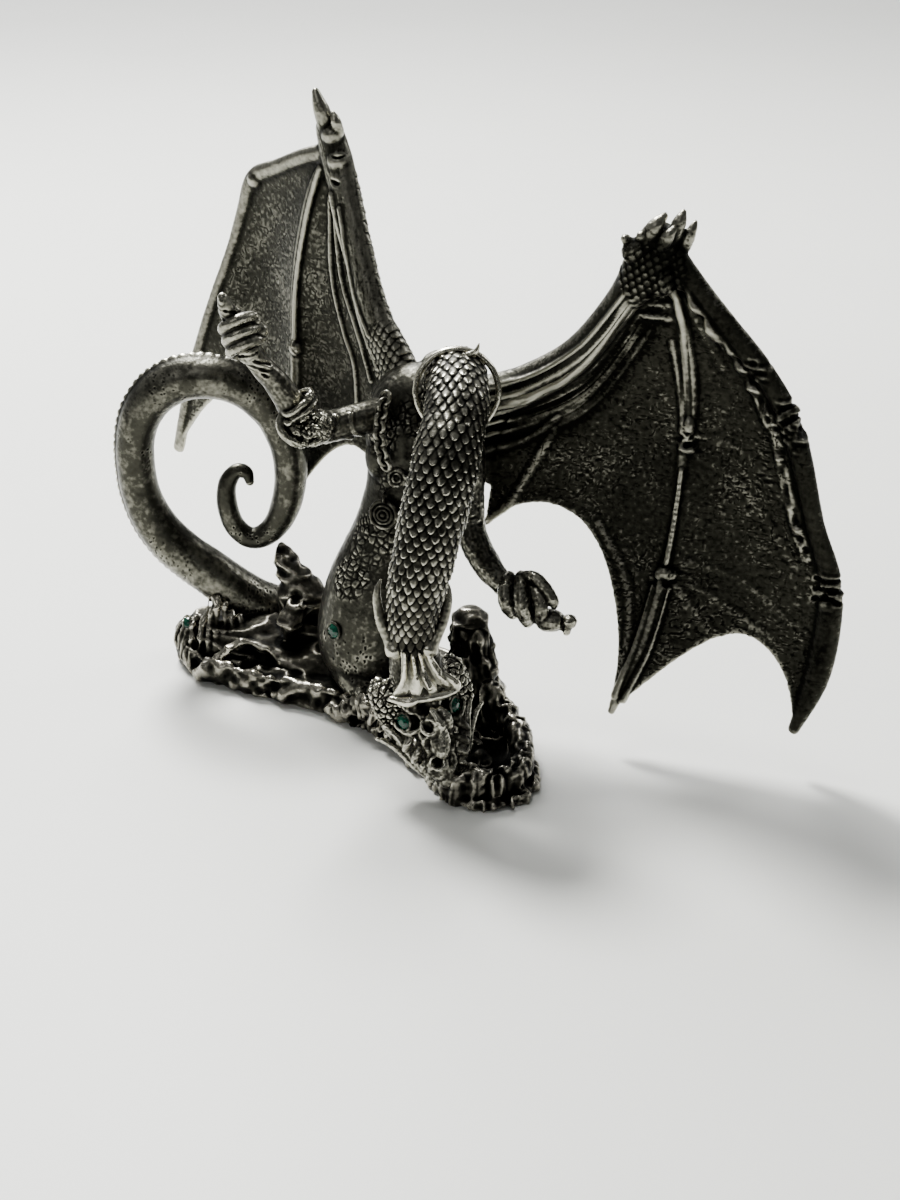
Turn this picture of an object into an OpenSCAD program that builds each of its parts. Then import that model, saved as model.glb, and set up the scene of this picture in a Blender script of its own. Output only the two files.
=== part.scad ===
// Cast dragon on a rock, drinking from a rock pool. Each casting is pegged and soldered into its
// neighbour, and the green stones sit in drilled seats. Millimetres, +Z up. The origin is on the
// underside of the rock, below the hips; +X runs towards the spread wing and -Y towards the head.

/* [Rock] */
// Height of the rock floor under the hips
floor_h = 3; // [2.6:0.1:3.4]
// Radius of the pool's hollow
pool_r = 3.6; // [3:0.1:3.9]
// Thickness of rock left under the pool
pool_floor = 1; // [0.8:0.1:1.6]

/* [Wings] */
// Thickness of the wing membranes
membrane_t = 0.9; // [0.6:0.1:1.3]
// How deep the trailing edge is cut between the two outer fingers, as a share of their length
outer_scallop = 0.17; // [0.1:0.01:0.3]
// How deep the trailing edge is cut between the middle finger and the body
inner_scallop = 0.24; // [0.15:0.01:0.3]
// Thickness factor of the wing fingers
finger_scale = 1; // [0.85:0.05:1.2]

/* [Limbs] */
// Thickness factor of the neck
neck_scale = 1; // [0.9:0.05:1.05]
// Thickness factor of the tail
tail_scale = 1; // [0.85:0.05:1.1]
// Radius of a horn at its root
horn_r = 0.95; // [0.7:0.05:1.1]

/* [Joints and stones] */
// Radius of the pegs between castings
peg_r = 0.8; // [0.6:0.05:0.9]
// Length of the pegs
peg_len = 1.6; // [1.2:0.1:1.8]
// Radial room round a peg, filled with solder
peg_gap = 0.08; // [0.05:0.01:0.1]
// Radius of the round stones
stone_r = 0.95; // [0.8:0.05:1]

/* [Jewellery] */
// Radius of the medallion
medallion_r = 1.75; // [1.5:0.05:1.9]
// Radius of the chain's wire
chain_wire_r = 0.28; // [0.22:0.01:0.28]
// Radius of the collar, to the middle of its band
torc_r = 4.7; // [4.6:0.05:4.9]

/* [Hidden] */
$fn = 48;
limb_sides = 12;
pewter = [0.42, 0.40, 0.36];
bright_pewter = [0.62, 0.60, 0.54];
green = [0.02, 0.35, 0.22];

// Routes are hand-set centrelines, root first: [x, y, z, half width, half depth].
torso_route = [[1.5, 1, 3, 5.2, 5], [1.3, 1, 6.5, 7.2, 6.8], [1.4, 1, 10.5, 7.6, 7.2],
               [2, 1, 16, 6.7, 6.4], [3.4, 1.2, 22, 5.2, 5], [4.8, 1.2, 28, 4.6, 4.3],
               [6, 1.4, 33, 5.6, 5], [7, 1.8, 37.5, 6.8, 5.4], [8.6, 2.6, 41.5, 5.6, 4.2],
               [9.4, 3, 43, 2.6, 2.2]];
neck_route = [[9.8, 3.4, 38.5, 3.2, 3.2], [10.6, 1, 42, 3.4, 3.4], [11.3, -2.4, 44.2, 3.4, 3.4],
              [11.5, -6.4, 44.2, 3.4, 3.4], [11.2, -10.4, 42.4, 3.5, 3.4],
              [10.2, -14, 38.8, 3.6, 3.4], [8.8, -16.6, 33, 3.6, 3.3],
              [7.2, -18.2, 26.5, 3.3, 3], [6.3, -18.4, 21, 2.9, 2.7], [6.2, -18.2, 17.6, 2.7, 2.5]];
head_route = [[6.2, -18.2, 17.6, 2.7, 2.5], [6.7, -18.4, 15, 3.4, 2.8], [7.4, -18.9, 12.4, 3.7, 3.1],
              [8, -19.8, 10, 3.4, 3.1], [8.9, -21.3, 7.4, 2.6, 2.7], [9.8, -22.8, 5, 2.1, 2.2],
              [10.5, -24, 3.3, 1.7, 1.6], [10.9, -24.6, 2.5, 0.8, 0.8]];
head_side = [0.93, 0.31, 0.19];
tail_route = [[-3.5, 6.5, 7.5, 3, 3], [-6.5, 12, 6, 3.2, 3.2], [-11, 13.5, 5.4, 3.2, 3.2],
              [-15.5, 12.8, 7.4, 3.1, 3.1], [-20.5, 12.2, 11.5, 3, 3], [-26, 12, 16.6, 2.8, 2.8],
              [-29, 12, 22.6, 2.5, 2.5], [-29.4, 12, 30, 2.4, 2.4], [-27.6, 12, 35.2, 2.6, 2.6],
              [-24, 12, 38.4, 2.8, 2.8], [-19.6, 12, 39.2, 2.8, 2.8], [-15.2, 12, 37.8, 2.6, 2.6],
              [-12, 12, 34.6, 2.4, 2.4], [-10.2, 12, 30.4, 2.2, 2.2], [-9.8, 12, 26, 2.1, 2.1],
              [-10.8, 12, 21.2, 1.9, 1.9], [-12.8, 12, 18, 1.6, 1.6], [-15.3, 12, 17, 1.4, 1.4],
              [-17.4, 12, 18.8, 1.35, 1.35], [-18.2, 12, 21.8, 1.3, 1.3], [-18, 12, 24.6, 1.2, 1.2],
              [-16.8, 12, 26.4, 1, 1], [-15.5, 12, 26.2, 0.9, 0.9], [-15.1, 12, 25, 0.5, 0.5]];
horn_right_route = [[4.5, -18.9, 16.6, 1, 1], [3.2, -18.7, 18.6, 0.95, 0.95], [2.4, -17.9, 21, 0.75, 0.75],
                    [2.3, -16.8, 23.2, 0.5, 0.5], [2.6, -16, 24.6, 0.2, 0.2]];
horn_left_route = [[8.4, -18.4, 16.8, 1, 1], [9.5, -18.2, 18.6, 0.95, 0.95], [10.1, -17.4, 20.8, 0.75, 0.75],
                   [10.2, -16.4, 22.8, 0.5, 0.5], [9.8, -15.8, 24.2, 0.2, 0.2]];
upper_arm_right_route = [[3.6, 0.2, 38.8, 2.2, 2.2], [0, -1.6, 38.6, 2, 2], [-4, -3.4, 38.1, 2.1, 2.1],
                         [-7, -4.6, 38.4, 2.1, 2.1], [-7.8, -4.9, 38.8, 1, 1]];
forearm_right_route = [[-6.4, -4.4, 38, 1.6, 1.6], [-7, -4.6, 40, 2.7, 2.5], [-7.7, -4.8, 41.8, 2.3, 2.1],
                       [-9.2, -5.4, 44.6, 1.8, 1.7], [-10.9, -6, 47.2, 1.4, 1.4],
                       [-12, -6.4, 49.4, 2, 1.8], [-12.7, -6.8, 51.4, 2.1, 1.8], [-13.2, -7.2, 53, 1, 1]];
finger_route = [[-13, -7, 51.6, 0.9, 0.9], [-13.9, -7.6, 54, 0.85, 0.85], [-14.5, -8, 56, 0.4, 0.4]];
arm_left_route = [[12.4, 1.4, 36.6, 2.2, 2.2], [13, 0.4, 32, 2.1, 2.1], [12.9, -0.8, 27.8, 1.9, 1.9],
                  [13.3, -2.7, 24.2, 2, 2], [15, -5, 21.4, 2, 2], [17, -7, 19.8, 1.5, 1.5],
                  [18.8, -8.4, 19, 2.1, 2.1], [20.8, -9.8, 18.5, 2.2, 2.2], [22.4, -10.8, 18, 1.1, 1.1]];
thumb_route = [[20.8, -10, 17.4, 1, 1], [22.8, -11.2, 17.3, 1.1, 1.1], [24.4, -12, 17.5, 0.9, 0.9],
               [25.2, -12.4, 17.5, 0.4, 0.4]];

// Wing bones run from the body to the wrist, and fingers from the wrist to their tips.
bone_left_route = [[12.6, 4, 38.8, 2.5, 2.5], [16, 3, 40, 2.5, 2.5], [20.4, 1.4, 42.2, 2.2, 2.2],
                   [25.6, -1, 46.6, 1.9, 1.9], [29.8, -3.2, 53, 1.9, 1.9], [32.8, -4.8, 59, 2.5, 2.5],
                   [34.4, -5, 62.4, 2, 2], [35.4, -5, 64, 0.8, 0.8]];
lead_left_route = [[34.4, -5, 60.2, 1.4, 1.4], [37.6, -6.4, 56.2, 1.4, 1.4], [41.2, -8, 52, 1.4, 1.4],
                   [45.6, -10, 47, 1.3, 1.3], [49, -12, 41, 1.3, 1.3], [51.8, -14, 31, 1.1, 1.1],
                   [54.2, -15.4, 23, 1.2, 1.2], [53.6, -16.4, 13, 0.8, 0.8], [51, -17, 4.8, 0.4, 0.4]];
mid_left_route = [[33.8, -5, 60, 1.3, 1.3], [36, -5, 54, 1.1, 1.1], [37.6, -4.7, 45, 0.9, 0.9],
                  [37.9, -4.8, 37, 1.2, 1.2], [37.2, -6.4, 29, 0.9, 0.9], [36, -8, 21.4, 1.1, 1.1],
                  [33.4, -10.2, 12.5, 0.8, 0.8], [30, -12, 4.6, 0.4, 0.4]];
inner_left_route = [[32, -4.6, 56.6, 1, 1], [27, -2, 49, 1, 1], [22, 0.5, 43.6, 1, 1],
                    [18.2, 2.4, 38.6, 1, 1], [16.2, 2.6, 31.6, 0.8, 0.8], [15, 2, 23.5, 0.4, 0.4]];
wing_left_normal = [0.45, 0.88, 0.15];

bone_right_route = [[5.2, 4.4, 40.2, 2.5, 2.5], [4, 5.6, 43.6, 2.3, 2.3], [1.4, 7.8, 49, 1.9, 1.9],
                    [-0.6, 10.6, 57, 1.7, 1.7], [-2.6, 13.4, 65, 2, 2], [-3.8, 14.2, 69.6, 1.7, 1.7],
                    [-4.8, 14.2, 72, 1, 1], [-5.3, 14.2, 73.7, 0.4, 0.4]];
lead_right_route = [[-3.4, 13.8, 66.4, 1.3, 1.3], [-6.6, 16.4, 65.4, 1.1, 1.1], [-10.4, 20.4, 63.2, 1.1, 1.1],
                    [-13.8, 24, 61, 1.3, 1.3], [-15.6, 25.8, 56.5, 1.1, 1.1], [-17.4, 27, 51.4, 1, 1],
                    [-21.2, 29, 42, 0.9, 0.9], [-24.6, 31, 32, 0.9, 0.9], [-27.6, 33, 20.6, 0.6, 0.6]];
mid_right_route = [[-3.2, 13.8, 66, 1.2, 1.2], [-6, 15.6, 61, 1, 1], [-8.2, 17, 51, 0.9, 0.9],
                   [-8.8, 16.8, 40, 1, 1], [-9.2, 15.6, 29, 0.8, 0.8], [-10.4, 14.8, 19.6, 0.4, 0.4]];
inner_right_route = [[-2.4, 13, 63.4, 1, 1], [-0.6, 10.8, 56.4, 1, 1], [1.2, 8, 48.6, 1, 1],
                     [2.4, 6.8, 42.6, 1, 1], [2, 7, 37, 0.8, 0.8], [0.4, 7.6, 30.4, 0.4, 0.4]];
wing_right_normal = [0.55, 0.8, 0.2];

// Rock: its outline on the ground, and the lumps that stand on it.
rock_outline = [[-26, 10], [-25.5, 15], [-20, 17.5], [-12, 18], [-3, 16], [5, 12.5], [11, 7], [16, 1.8],
                [17.6, -2.5], [19.2, -11], [21.2, -17], [20.8, -23.4], [17.5, -26.4], [13.5, -26.4],
                [9.6, -23.6], [7, -18], [3, -12], [-2, -6.2], [-8.5, -2.8], [-15, 0], [-21, 3.4],
                [-24, 6.4]];
heap_route = [[-25.4, 13, 2.4, 1.5, 1.5], [-23, 12.2, 3.4, 3.6, 3.2], [-18, 10, 3.4, 4.6, 4],
              [-12, 8, 3, 5.4, 4.2], [-5, 5, 2, 6, 3], [1, 3, 1, 3, 1.5]];
spur_route = [[-7.6, 8, 2, 5, 3.6], [-8, 8, 7, 4.2, 3.2], [-8.8, 8.4, 10.6, 3.2, 2.8],
              [-10.4, 9.6, 14, 1.8, 1.8], [-11.8, 11.4, 17, 0.9, 0.9]];
pillar_route = [[13.2, -7.6, 1, 3.6, 3.2], [13.2, -6.4, 5, 3, 2.8], [13, -4.6, 9, 2.6, 2.5],
                [12.8, -3.4, 12, 2.4, 2.2], [12.6, -2.8, 13.4, 1, 1]];
rim_route = [[14.6, -7, 3, 2.6, 2.6], [17.4, -9.6, 2.8, 2.1, 2.2], [19, -13.4, 2, 1.5, 2],
             [19.4, -17.6, 2, 1.5, 1.9], [18.6, -21.6, 2.2, 1.6, 1.9], [15.6, -23.8, 2.2, 1.8, 1.9],
             [12.6, -23.6, 1.4, 1.6, 1.4]];
pool_centre = [15.3, -16.8];

// Seats of stones and jewellery: place, then the direction that they face.
eye_right_seat = [[5.3, -21.6, 9.3], [-0.62, -0.76, 0.2]];
eye_left_seat = [[11.1, -19.7, 10.4], [0.85, -0.48, 0.2]];
hip_seat = [[-3.7, -4.3, 11.9], [-0.65, -0.74, 0.15]];
base_seat = [[-24.2, 9.6, 5.6], [-0.75, -0.5, 0.43]];
medallion_seat = [[2.9, -2.9, 27.2], [-0.35, -0.93, 0.1]];
brooch_seat = [[4.5, -3.2, 32], [-0.3, -0.94, 0.15]];
crest_centre = [7.2, -21.2, 13.6];
crest_tilt = [76, 8, 0];
crest_t = 0.9;
// The flat cut on the head under the crest: its near corner, then its size
crest_seat = [[-5, -3.4, 0], [10, 7.4, 4]];
torc_centre = [11.4, -5, 43.4];
torc_facing = [0, -0.97, 0.24];
chain_route = [[3.2, -3.3, 42.2], [2.7, -3.7, 40.6], [2.4, -4, 38.8], [2.4, -4.1, 37],
               [2.7, -4.1, 35.2], [3.1, -4, 33.6]];

// Flat seats under the roots of the limbs: the radius, then the depth that is cut away
neck_seat = [3.5, 8];
tail_seat = [3.2, 6];
arm_right_seat = [2.3, 6];
arm_left_seat = [2.3, 8];
wing_left_seat = [2.7, 6];
wing_right_seat = [2.6, 6];
horn_seat = [1.1, 3];

function unit(v) = v / norm(v);
function place(s) = [s[0], s[1], s[2]];
function item(list, i) = list[max(0, min(len(list) - 1, i))];
// A point of a Catmull-Rom curve between b and c
function curve(a, b, c, d, t) =
    0.5 * (2 * b + (c - a) * t + (2 * a - 5 * b + 4 * c - d) * t * t
           + (3 * b - a - 3 * c + d) * t * t * t);
function smooth(list, steps) =
    [for (i = [0 : len(list) - 2], k = [0 : steps - 1])
         curve(item(list, i - 1), list[i], list[i + 1], item(list, i + 2), k / steps),
     list[len(list) - 1]];
function closed_smooth(list, steps) =
    let (n = len(list))
    [for (i = [0 : n - 1], k = [0 : steps - 1])
         curve(list[(i + n - 1) % n], list[i], list[(i + 1) % n], list[(i + 2) % n], k / steps)];
// A point at share v of the way along a route
function along_route(route, v) =
    let (x = v * (len(route) - 1), i = min(len(route) - 2, floor(x)))
    place(curve(item(route, i - 1), route[i], route[i + 1], item(route, i + 2), x - i));
function root_direction(route, steps = 3) =
    let (s = smooth(route, steps)) unit(place(s[1]) - place(s[0]));
// Two triangles for each cell of a grid whose rows wrap round
function tube_faces(rings, sides) =
    [for (i = [0 : rings - 2], k = [0 : sides - 1])
         let (a = i * sides + k, b = i * sides + (k + 1) % sides)
         each [[a, a + sides, b], [b, a + sides, b + sides]]];

// Turns +Z to a direction
module facing(direction)
{
    rotate([0, acos(direction[2] / norm(direction)), atan2(direction[1], direction[0])]) children();
}

module at_seat(seat)
{
    translate(seat[0]) facing(seat[1]) children();
}

// A closed tube of elliptical rings along a route
module limb(route, side, steps = 3, sides = limb_sides)
{
    s = smooth(route, steps);
    n = len(s);
    rings = [for (i = [0 : n - 1])
        let (t = unit(place(item(s, i + 1)) - place(item(s, i - 1))),
             v = unit(cross(t, side)), u = cross(v, t))
        [for (k = [0 : sides - 1])
             place(s[i]) + s[i][3] * cos(360 * k / sides) * u + s[i][4] * sin(360 * k / sides) * v]];
    last = n * sides;
    caps = [for (k = [0 : sides - 1])
        each [[last, k, (k + 1) % sides],
              [last + 1, last - sides + (k + 1) % sides, last - sides + k]]];
    polyhedron([for (r = rings) each r, place(s[0]), place(s[n - 1])],
               concat(tube_faces(n, sides), caps));
}

module root_peg(route)
{
    translate(place(route[0])) facing(root_direction(route))
        translate([0, 0, -peg_len]) cylinder(r = peg_r, h = 2 * peg_len);
}

// The flat seat and the peg's bore that a limb's root needs in its neighbour
module root_seat(route, seat)
{
    bore_len = peg_len + peg_gap;
    translate(place(route[0])) facing(root_direction(route)) {
        cylinder(r = seat[0], h = seat[1]);
        translate([0, 0, -bore_len]) cylinder(r = peg_r + peg_gap, h = 2 * bore_len);
    }
}

// The skin between two fingers: a sheet whose trailing edge is cut back between them
module membrane(from, to, normal, billow, scallop)
{
    across = 8;
    down = 12;
    start = 0.05;
    function cut(u) = 1 - scallop * pow(sin(180 * u), 0.7);
    sheet = [for (i = [0 : across], k = [0 : down])
        let (u = i / across, v = start + (cut(u) - start) * k / down)
        along_route(from, v) * (1 - u) + along_route(to, v) * u
        + billow * sin(180 * u) * sin(120 * v) * normal];
    rows = down + 1;
    n = len(sheet);
    half = unit(normal) * membrane_t / 2;
    cells = [for (i = [0 : across - 1], k = [0 : down - 1]) i * rows + k];
    front = [for (a = cells) each [[a, a + rows, a + 1], [a + 1, a + rows, a + rows + 1]]];
    back = [for (f = front) [f[2] + n, f[1] + n, f[0] + n]];
    edge = concat([for (k = [0 : down - 1]) k],
                  [for (i = [0 : across - 1]) i * rows + down],
                  [for (k = [down : -1 : 1]) across * rows + k],
                  [for (i = [across : -1 : 1]) i * rows]);
    m = len(edge);
    rim = [for (i = [0 : m - 1])
        let (a = edge[i], b = edge[(i + 1) % m]) each [[a, b, a + n], [b, b + n, a + n]]];
    polyhedron(concat([for (p = sheet) p - half], [for (p = sheet) p + half]),
               concat(front, back, rim));
}

module finger(route)
{
    limb([for (s = route) [s[0], s[1], s[2], s[3] * finger_scale, s[4] * finger_scale]],
         [0.45, 0.88, 0], 2, 8);
}

// A round stone: a flat table, a crown, and a cone that sits in the seat
module stone()
{
    girdle = 0.25;
    crown = 0.35;
    table = 0.6;
    facets = 8;
    pavilion = 0.7;
    translate([0, 0, girdle]) cylinder(r1 = stone_r, r2 = stone_r * table, h = crown, $fn = facets);
    cylinder(r = stone_r, h = girdle, $fn = facets);
    translate([0, 0, -pavilion]) cylinder(r1 = stone_r * 0.2, r2 = stone_r, h = pavilion, $fn = facets);
}

module stone_seat()
{
    seat_depth = 0.85;
    room = 0.06;
    translate([0, 0, -seat_depth]) cylinder(r = stone_r + room, h = seat_depth + 2);
}

module link(r, wire)
{
    rotate_extrude() translate([r, 0]) circle(wire, $fn = 16);
}

module torso_form()
{
    limb(torso_route, [1, 0, 0], 3, 20);
}

module neck_form()
{
    limb([for (s = neck_route) [s[0], s[1], s[2], s[3] * neck_scale, s[4] * neck_scale]],
         [1, 0, 0], 3, 14);
}

module head_form()
{
    limb(head_route, head_side, 3, 14);
}

module tail_form()
{
    limb([for (s = tail_route) [s[0], s[1], s[2], s[3] * tail_scale, s[4] * tail_scale]],
         [0, 1, 0], 3, 10);
}

module torc_form()
{
    band_r = 0.42;
    peak_h = 1.6;
    peak_tip_r = 0.1;
    translate(torc_centre) facing(torc_facing) {
        link(torc_r, band_r);
        translate([-torc_r, 0, 0]) rotate([0, -90, 0]) cylinder(r1 = band_r, r2 = peak_tip_r, h = peak_h);
    }
}

// The peg between the hips and the rock floor, or its bore
module hip_peg(r)
{
    translate([torso_route[0][0], torso_route[0][1], floor_h - peg_len]) cylinder(r = r, h = 2 * peg_len);
}

module rock_base()
{
    half_cut = 40;
    pool_cut_h = 9;
    color(pewter) difference() {
        union() {
            linear_extrude(floor_h) polygon(closed_smooth(rock_outline, 3));
            limb(heap_route, [0, 1, 0]);
            limb(spur_route, [1, 0, 0]);
            limb(pillar_route, [1, 0, 0]);
            limb(rim_route, [0, 0, 1]);
        }
        translate([-half_cut, -half_cut, -half_cut]) cube([2 * half_cut, 2 * half_cut, half_cut]);
        translate([pool_centre[0], pool_centre[1], pool_floor]) cylinder(r = pool_r, h = pool_cut_h);
        torso_form();
        hip_peg(peg_r + peg_gap);
        tail_form();
        head_form();
        at_seat(base_seat) stone_seat();
    }
}

module body()
{
    medallion_room = 0.1;
    medallion_cut_h = 3;
    color(pewter) difference() {
        union() {
            torso_form();
            hip_peg(peg_r);
        }
        root_seat(neck_route, neck_seat);
        root_seat(tail_route, tail_seat);
        root_seat(upper_arm_right_route, arm_right_seat);
        root_seat(arm_left_route, arm_left_seat);
        root_seat(bone_left_route, wing_left_seat);
        root_seat(bone_right_route, wing_right_seat);
        torc_form();
        at_seat(hip_seat) stone_seat();
        at_seat(medallion_seat) cylinder(r = medallion_r + medallion_room, h = medallion_cut_h);
    }
}

module neck()
{
    color(pewter) union() {
        neck_form();
        root_peg(neck_route);
    }
}

module crest_frame()
{
    translate(crest_centre) rotate(crest_tilt) children();
}

module head()
{
    color(pewter) difference() {
        union() {
            head_form();
            root_peg(head_route);
        }
        crest_frame() translate(crest_seat[0]) cube(crest_seat[1]);
        root_seat(horn_right_route, horn_seat);
        root_seat(horn_left_route, horn_seat);
        at_seat(eye_right_seat) stone_seat();
        at_seat(eye_left_seat) stone_seat();
    }
}

module brow_crest()
{
    outline = [[-1.9, 3.8], [-1.1, 2.4], [0, 3.6], [1.1, 2.4], [1.9, 3.8], [2.2, 1], [3.9, -1.4],
               [2.6, -2.6], [0.8, -3], [-0.8, -3], [-2.6, -2.6], [-3.9, -1.4], [-2.2, 1]];
    color(bright_pewter) crest_frame() linear_extrude(crest_t) polygon(outline);
}

module horn(route)
{
    color(bright_pewter) union() {
        limb([for (s = route) [s[0], s[1], s[2], s[3] * horn_r, s[4] * horn_r]], [1, 0, 0], 3, 10);
        translate(place(route[0])) facing(root_direction(route))
            translate([0, 0, -peg_len]) cylinder(r = horn_r * peg_r, h = 2 * peg_len);
    }
}

module horn_right()
{
    horn(horn_right_route);
}

module horn_left()
{
    horn(horn_left_route);
}

module eye_right()
{
    color(green) at_seat(eye_right_seat) stone();
}

module eye_left()
{
    color(green) at_seat(eye_left_seat) stone();
}

module tail()
{
    color(pewter) union() {
        tail_form();
        root_peg(tail_route);
    }
}

module wing_right()
{
    color(pewter) union() {
        limb(bone_right_route, [0, 1, 0], 3, 10);
        root_peg(bone_right_route);
        finger(lead_right_route);
        finger(mid_right_route);
        membrane(lead_right_route, mid_right_route, wing_right_normal, 1.2, outer_scallop);
        membrane(mid_right_route, inner_right_route, wing_right_normal, 0.8, inner_scallop / 2);
    }
}

module wing_left()
{
    color(pewter) union() {
        limb(bone_left_route, [0, 1, 0], 3, 10);
        root_peg(bone_left_route);
        finger(lead_left_route);
        finger(mid_left_route);
        membrane(mid_left_route, lead_left_route, wing_left_normal, 1.5, outer_scallop);
        membrane(inner_left_route, mid_left_route, wing_left_normal, 1.2, inner_scallop);
    }
}

module arm_right()
{
    color(pewter) union() {
        limb(upper_arm_right_route, [0, 1, 0]);
        limb(forearm_right_route, [0, 1, 0]);
        limb(finger_route, [0, 1, 0], 2, 8);
        root_peg(upper_arm_right_route);
    }
}

module arm_left()
{
    color(pewter) union() {
        limb(arm_left_route, [1, 0, 0]);
        limb(thumb_route, [0, 0, 1], 2, 8);
        root_peg(arm_left_route);
    }
}

module neck_torc()
{
    color(bright_pewter) torc_form();
}

module necklace_chain()
{
    link_r = 0.95;
    last = 7;
    color(bright_pewter) difference() {
        for (i = [0 : last]) {
            from = along_route(chain_route, max(0, i - 1) / last);
            to = along_route(chain_route, min(last, i + 1) / last);
            translate(along_route(chain_route, i / last)) facing(to - from)
                rotate([90, 0, i % 2 * 90 + 45]) link(link_r, chain_wire_r);
        }
        torso_form();
    }
}

module brooch()
{
    ring_r = 1.1;
    color(bright_pewter) at_seat(brooch_seat) link(ring_r, chain_wire_r);
}

module medallion()
{
    disc_t = 0.5;
    groove = 0.35;
    color(bright_pewter) at_seat(medallion_seat) difference() {
        cylinder(r = medallion_r, h = disc_t);
        for (k = [1 : 2])
            translate([0, 0, disc_t]) link(k * medallion_r / 3, groove / 2);
    }
}

module hip_crystal()
{
    color(green) at_seat(hip_seat) stone();
}

module base_crystal()
{
    color(green) at_seat(base_seat) stone();
}

rock_base();
body();
neck();
head();
brow_crest();
horn_right();
horn_left();
eye_right();
eye_left();
tail();
wing_right();
wing_left();
arm_right();
arm_left();
neck_torc();
necklace_chain();
brooch();
medallion();
hip_crystal();
base_crystal();
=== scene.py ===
"""Cast pewter dragon on a rock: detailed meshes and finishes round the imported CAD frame."""
import math

import bpy
import numpy as np
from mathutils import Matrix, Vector


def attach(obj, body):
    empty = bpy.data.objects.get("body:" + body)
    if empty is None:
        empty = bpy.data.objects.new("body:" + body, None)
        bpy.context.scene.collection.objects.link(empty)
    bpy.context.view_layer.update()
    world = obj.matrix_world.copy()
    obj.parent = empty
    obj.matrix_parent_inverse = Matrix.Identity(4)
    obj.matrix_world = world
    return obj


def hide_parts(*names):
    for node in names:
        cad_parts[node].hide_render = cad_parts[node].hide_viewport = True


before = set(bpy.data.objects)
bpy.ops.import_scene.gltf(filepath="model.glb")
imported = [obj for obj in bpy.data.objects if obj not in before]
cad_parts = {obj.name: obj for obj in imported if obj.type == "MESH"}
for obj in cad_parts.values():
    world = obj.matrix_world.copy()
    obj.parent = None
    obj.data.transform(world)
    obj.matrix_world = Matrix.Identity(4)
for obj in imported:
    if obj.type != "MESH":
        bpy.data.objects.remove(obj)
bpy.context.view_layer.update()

MM = 0.001
FINE = 1.0

# Routes are centrelines in mm, root first: x, y, z, half width, half depth.
TORSO = [(1.5, 1, 2.6, 5.4, 5), (1.3, 1, 6.5, 7.2, 6.8), (1.4, 1, 10.5, 7.6, 7.2), (2, 1, 16, 6.7, 6.4),
         (3.4, 1.2, 22, 5.2, 5), (4.8, 1.2, 28, 4.6, 4.3), (6, 1.4, 33, 5.6, 5), (7, 1.8, 37.5, 6.6, 5.4),
         (8.4, 2.6, 41, 5.4, 4.2), (9.4, 3, 43, 2.6, 2.2)]
NECK = [(9.8, 3.4, 38.5, 3.2, 3.2), (10.6, 1, 42, 3.4, 3.4), (11.3, -2.4, 44.2, 3.4, 3.4),
        (11.5, -6.4, 44.2, 3.4, 3.4), (11.2, -10.4, 42.4, 3.5, 3.4), (10.2, -14, 38.8, 3.6, 3.4),
        (8.8, -16.6, 33, 3.6, 3.3), (7.2, -18.2, 26.5, 3.3, 3), (6.3, -18.4, 21, 2.9, 2.7),
        (6.2, -18.2, 16.6, 2.6, 2.4)]
TAIL = [(-3.5, 6.5, 7.5, 3, 3), (-6.5, 12, 6, 3.2, 3.2), (-11, 13.5, 5.4, 3.2, 3.2),
        (-15.5, 12.8, 7.4, 3.1, 3.1), (-20.5, 12.2, 11.5, 3, 3), (-26, 12, 16.6, 2.8, 2.8),
        (-29, 12, 22.6, 2.5, 2.5), (-29.4, 12, 30, 2.4, 2.4), (-27.6, 12, 35.2, 2.6, 2.6),
        (-24, 12, 38.4, 2.8, 2.8), (-19.6, 12, 39.2, 2.8, 2.8), (-15.2, 12, 37.8, 2.6, 2.6),
        (-12, 12, 34.6, 2.4, 2.4), (-10.2, 12, 30.4, 2.2, 2.2), (-9.8, 12, 26, 2.1, 2.1),
        (-10.8, 12, 21.2, 1.9, 1.9), (-12.8, 12, 18, 1.6, 1.6), (-15.3, 12, 17, 1.4, 1.4),
        (-17.4, 12, 18.8, 1.35, 1.35), (-18.2, 12, 21.8, 1.3, 1.3), (-18, 12, 24.6, 1.2, 1.2),
        (-16.8, 12, 26.4, 1, 1), (-15.5, 12, 26.2, 0.9, 0.9), (-15.1, 12, 25, 0.6, 0.6)]

# ---------------------------------------------------------------- numbers on arrays


def unit(v):
    """Vectors of length 1 that point the same way."""
    v = np.asarray(v, float)
    return v / np.maximum(np.linalg.norm(v, axis=-1, keepdims=True), 1e-12)


def spline(points, steps):
    """Catmull-Rom curve through the points, every column smoothed alike."""
    p = np.asarray(points, float)
    p = np.vstack([p[0], p, p[-1]])
    t = np.linspace(0, 1, steps, endpoint=False)[:, None]
    out = []
    for a, b, c, d in zip(p[:-3], p[1:-2], p[2:-1], p[3:]):
        out.append(0.5 * (2 * b + (c - a) * t + (2 * a - 5 * b + 4 * c - d) * t ** 2
                          + (3 * b - a - 3 * c + d) * t ** 3))
    return np.vstack(out + [p[-1]])


def at_share(route, v):
    """Points at shares v of the way along a route."""
    fine = spline(np.asarray(route, float)[:, :3], 12)
    x = np.asarray(v, float) * (len(fine) - 1)
    return np.stack([np.interp(x, np.arange(len(fine)), fine[:, k]) for k in range(3)], -1)


def lattice(ix, iy, iz, seed):
    """A repeatable random number from 0 to 1 for each whole-number place: the large numbers
    only scramble the bits of the place and the seed."""
    h = (ix * 374761393 + iy * 668265263 + iz * 2147483647 + seed * 974711) & 0xFFFFFFFF
    h = ((h ^ (h >> 13)) * 1274126177) & 0xFFFFFFFF
    h = ((h ^ (h >> 16)) * 2246822519) & 0xFFFFFFFF
    return (h ^ (h >> 15)) / 4294967295.0


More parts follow.
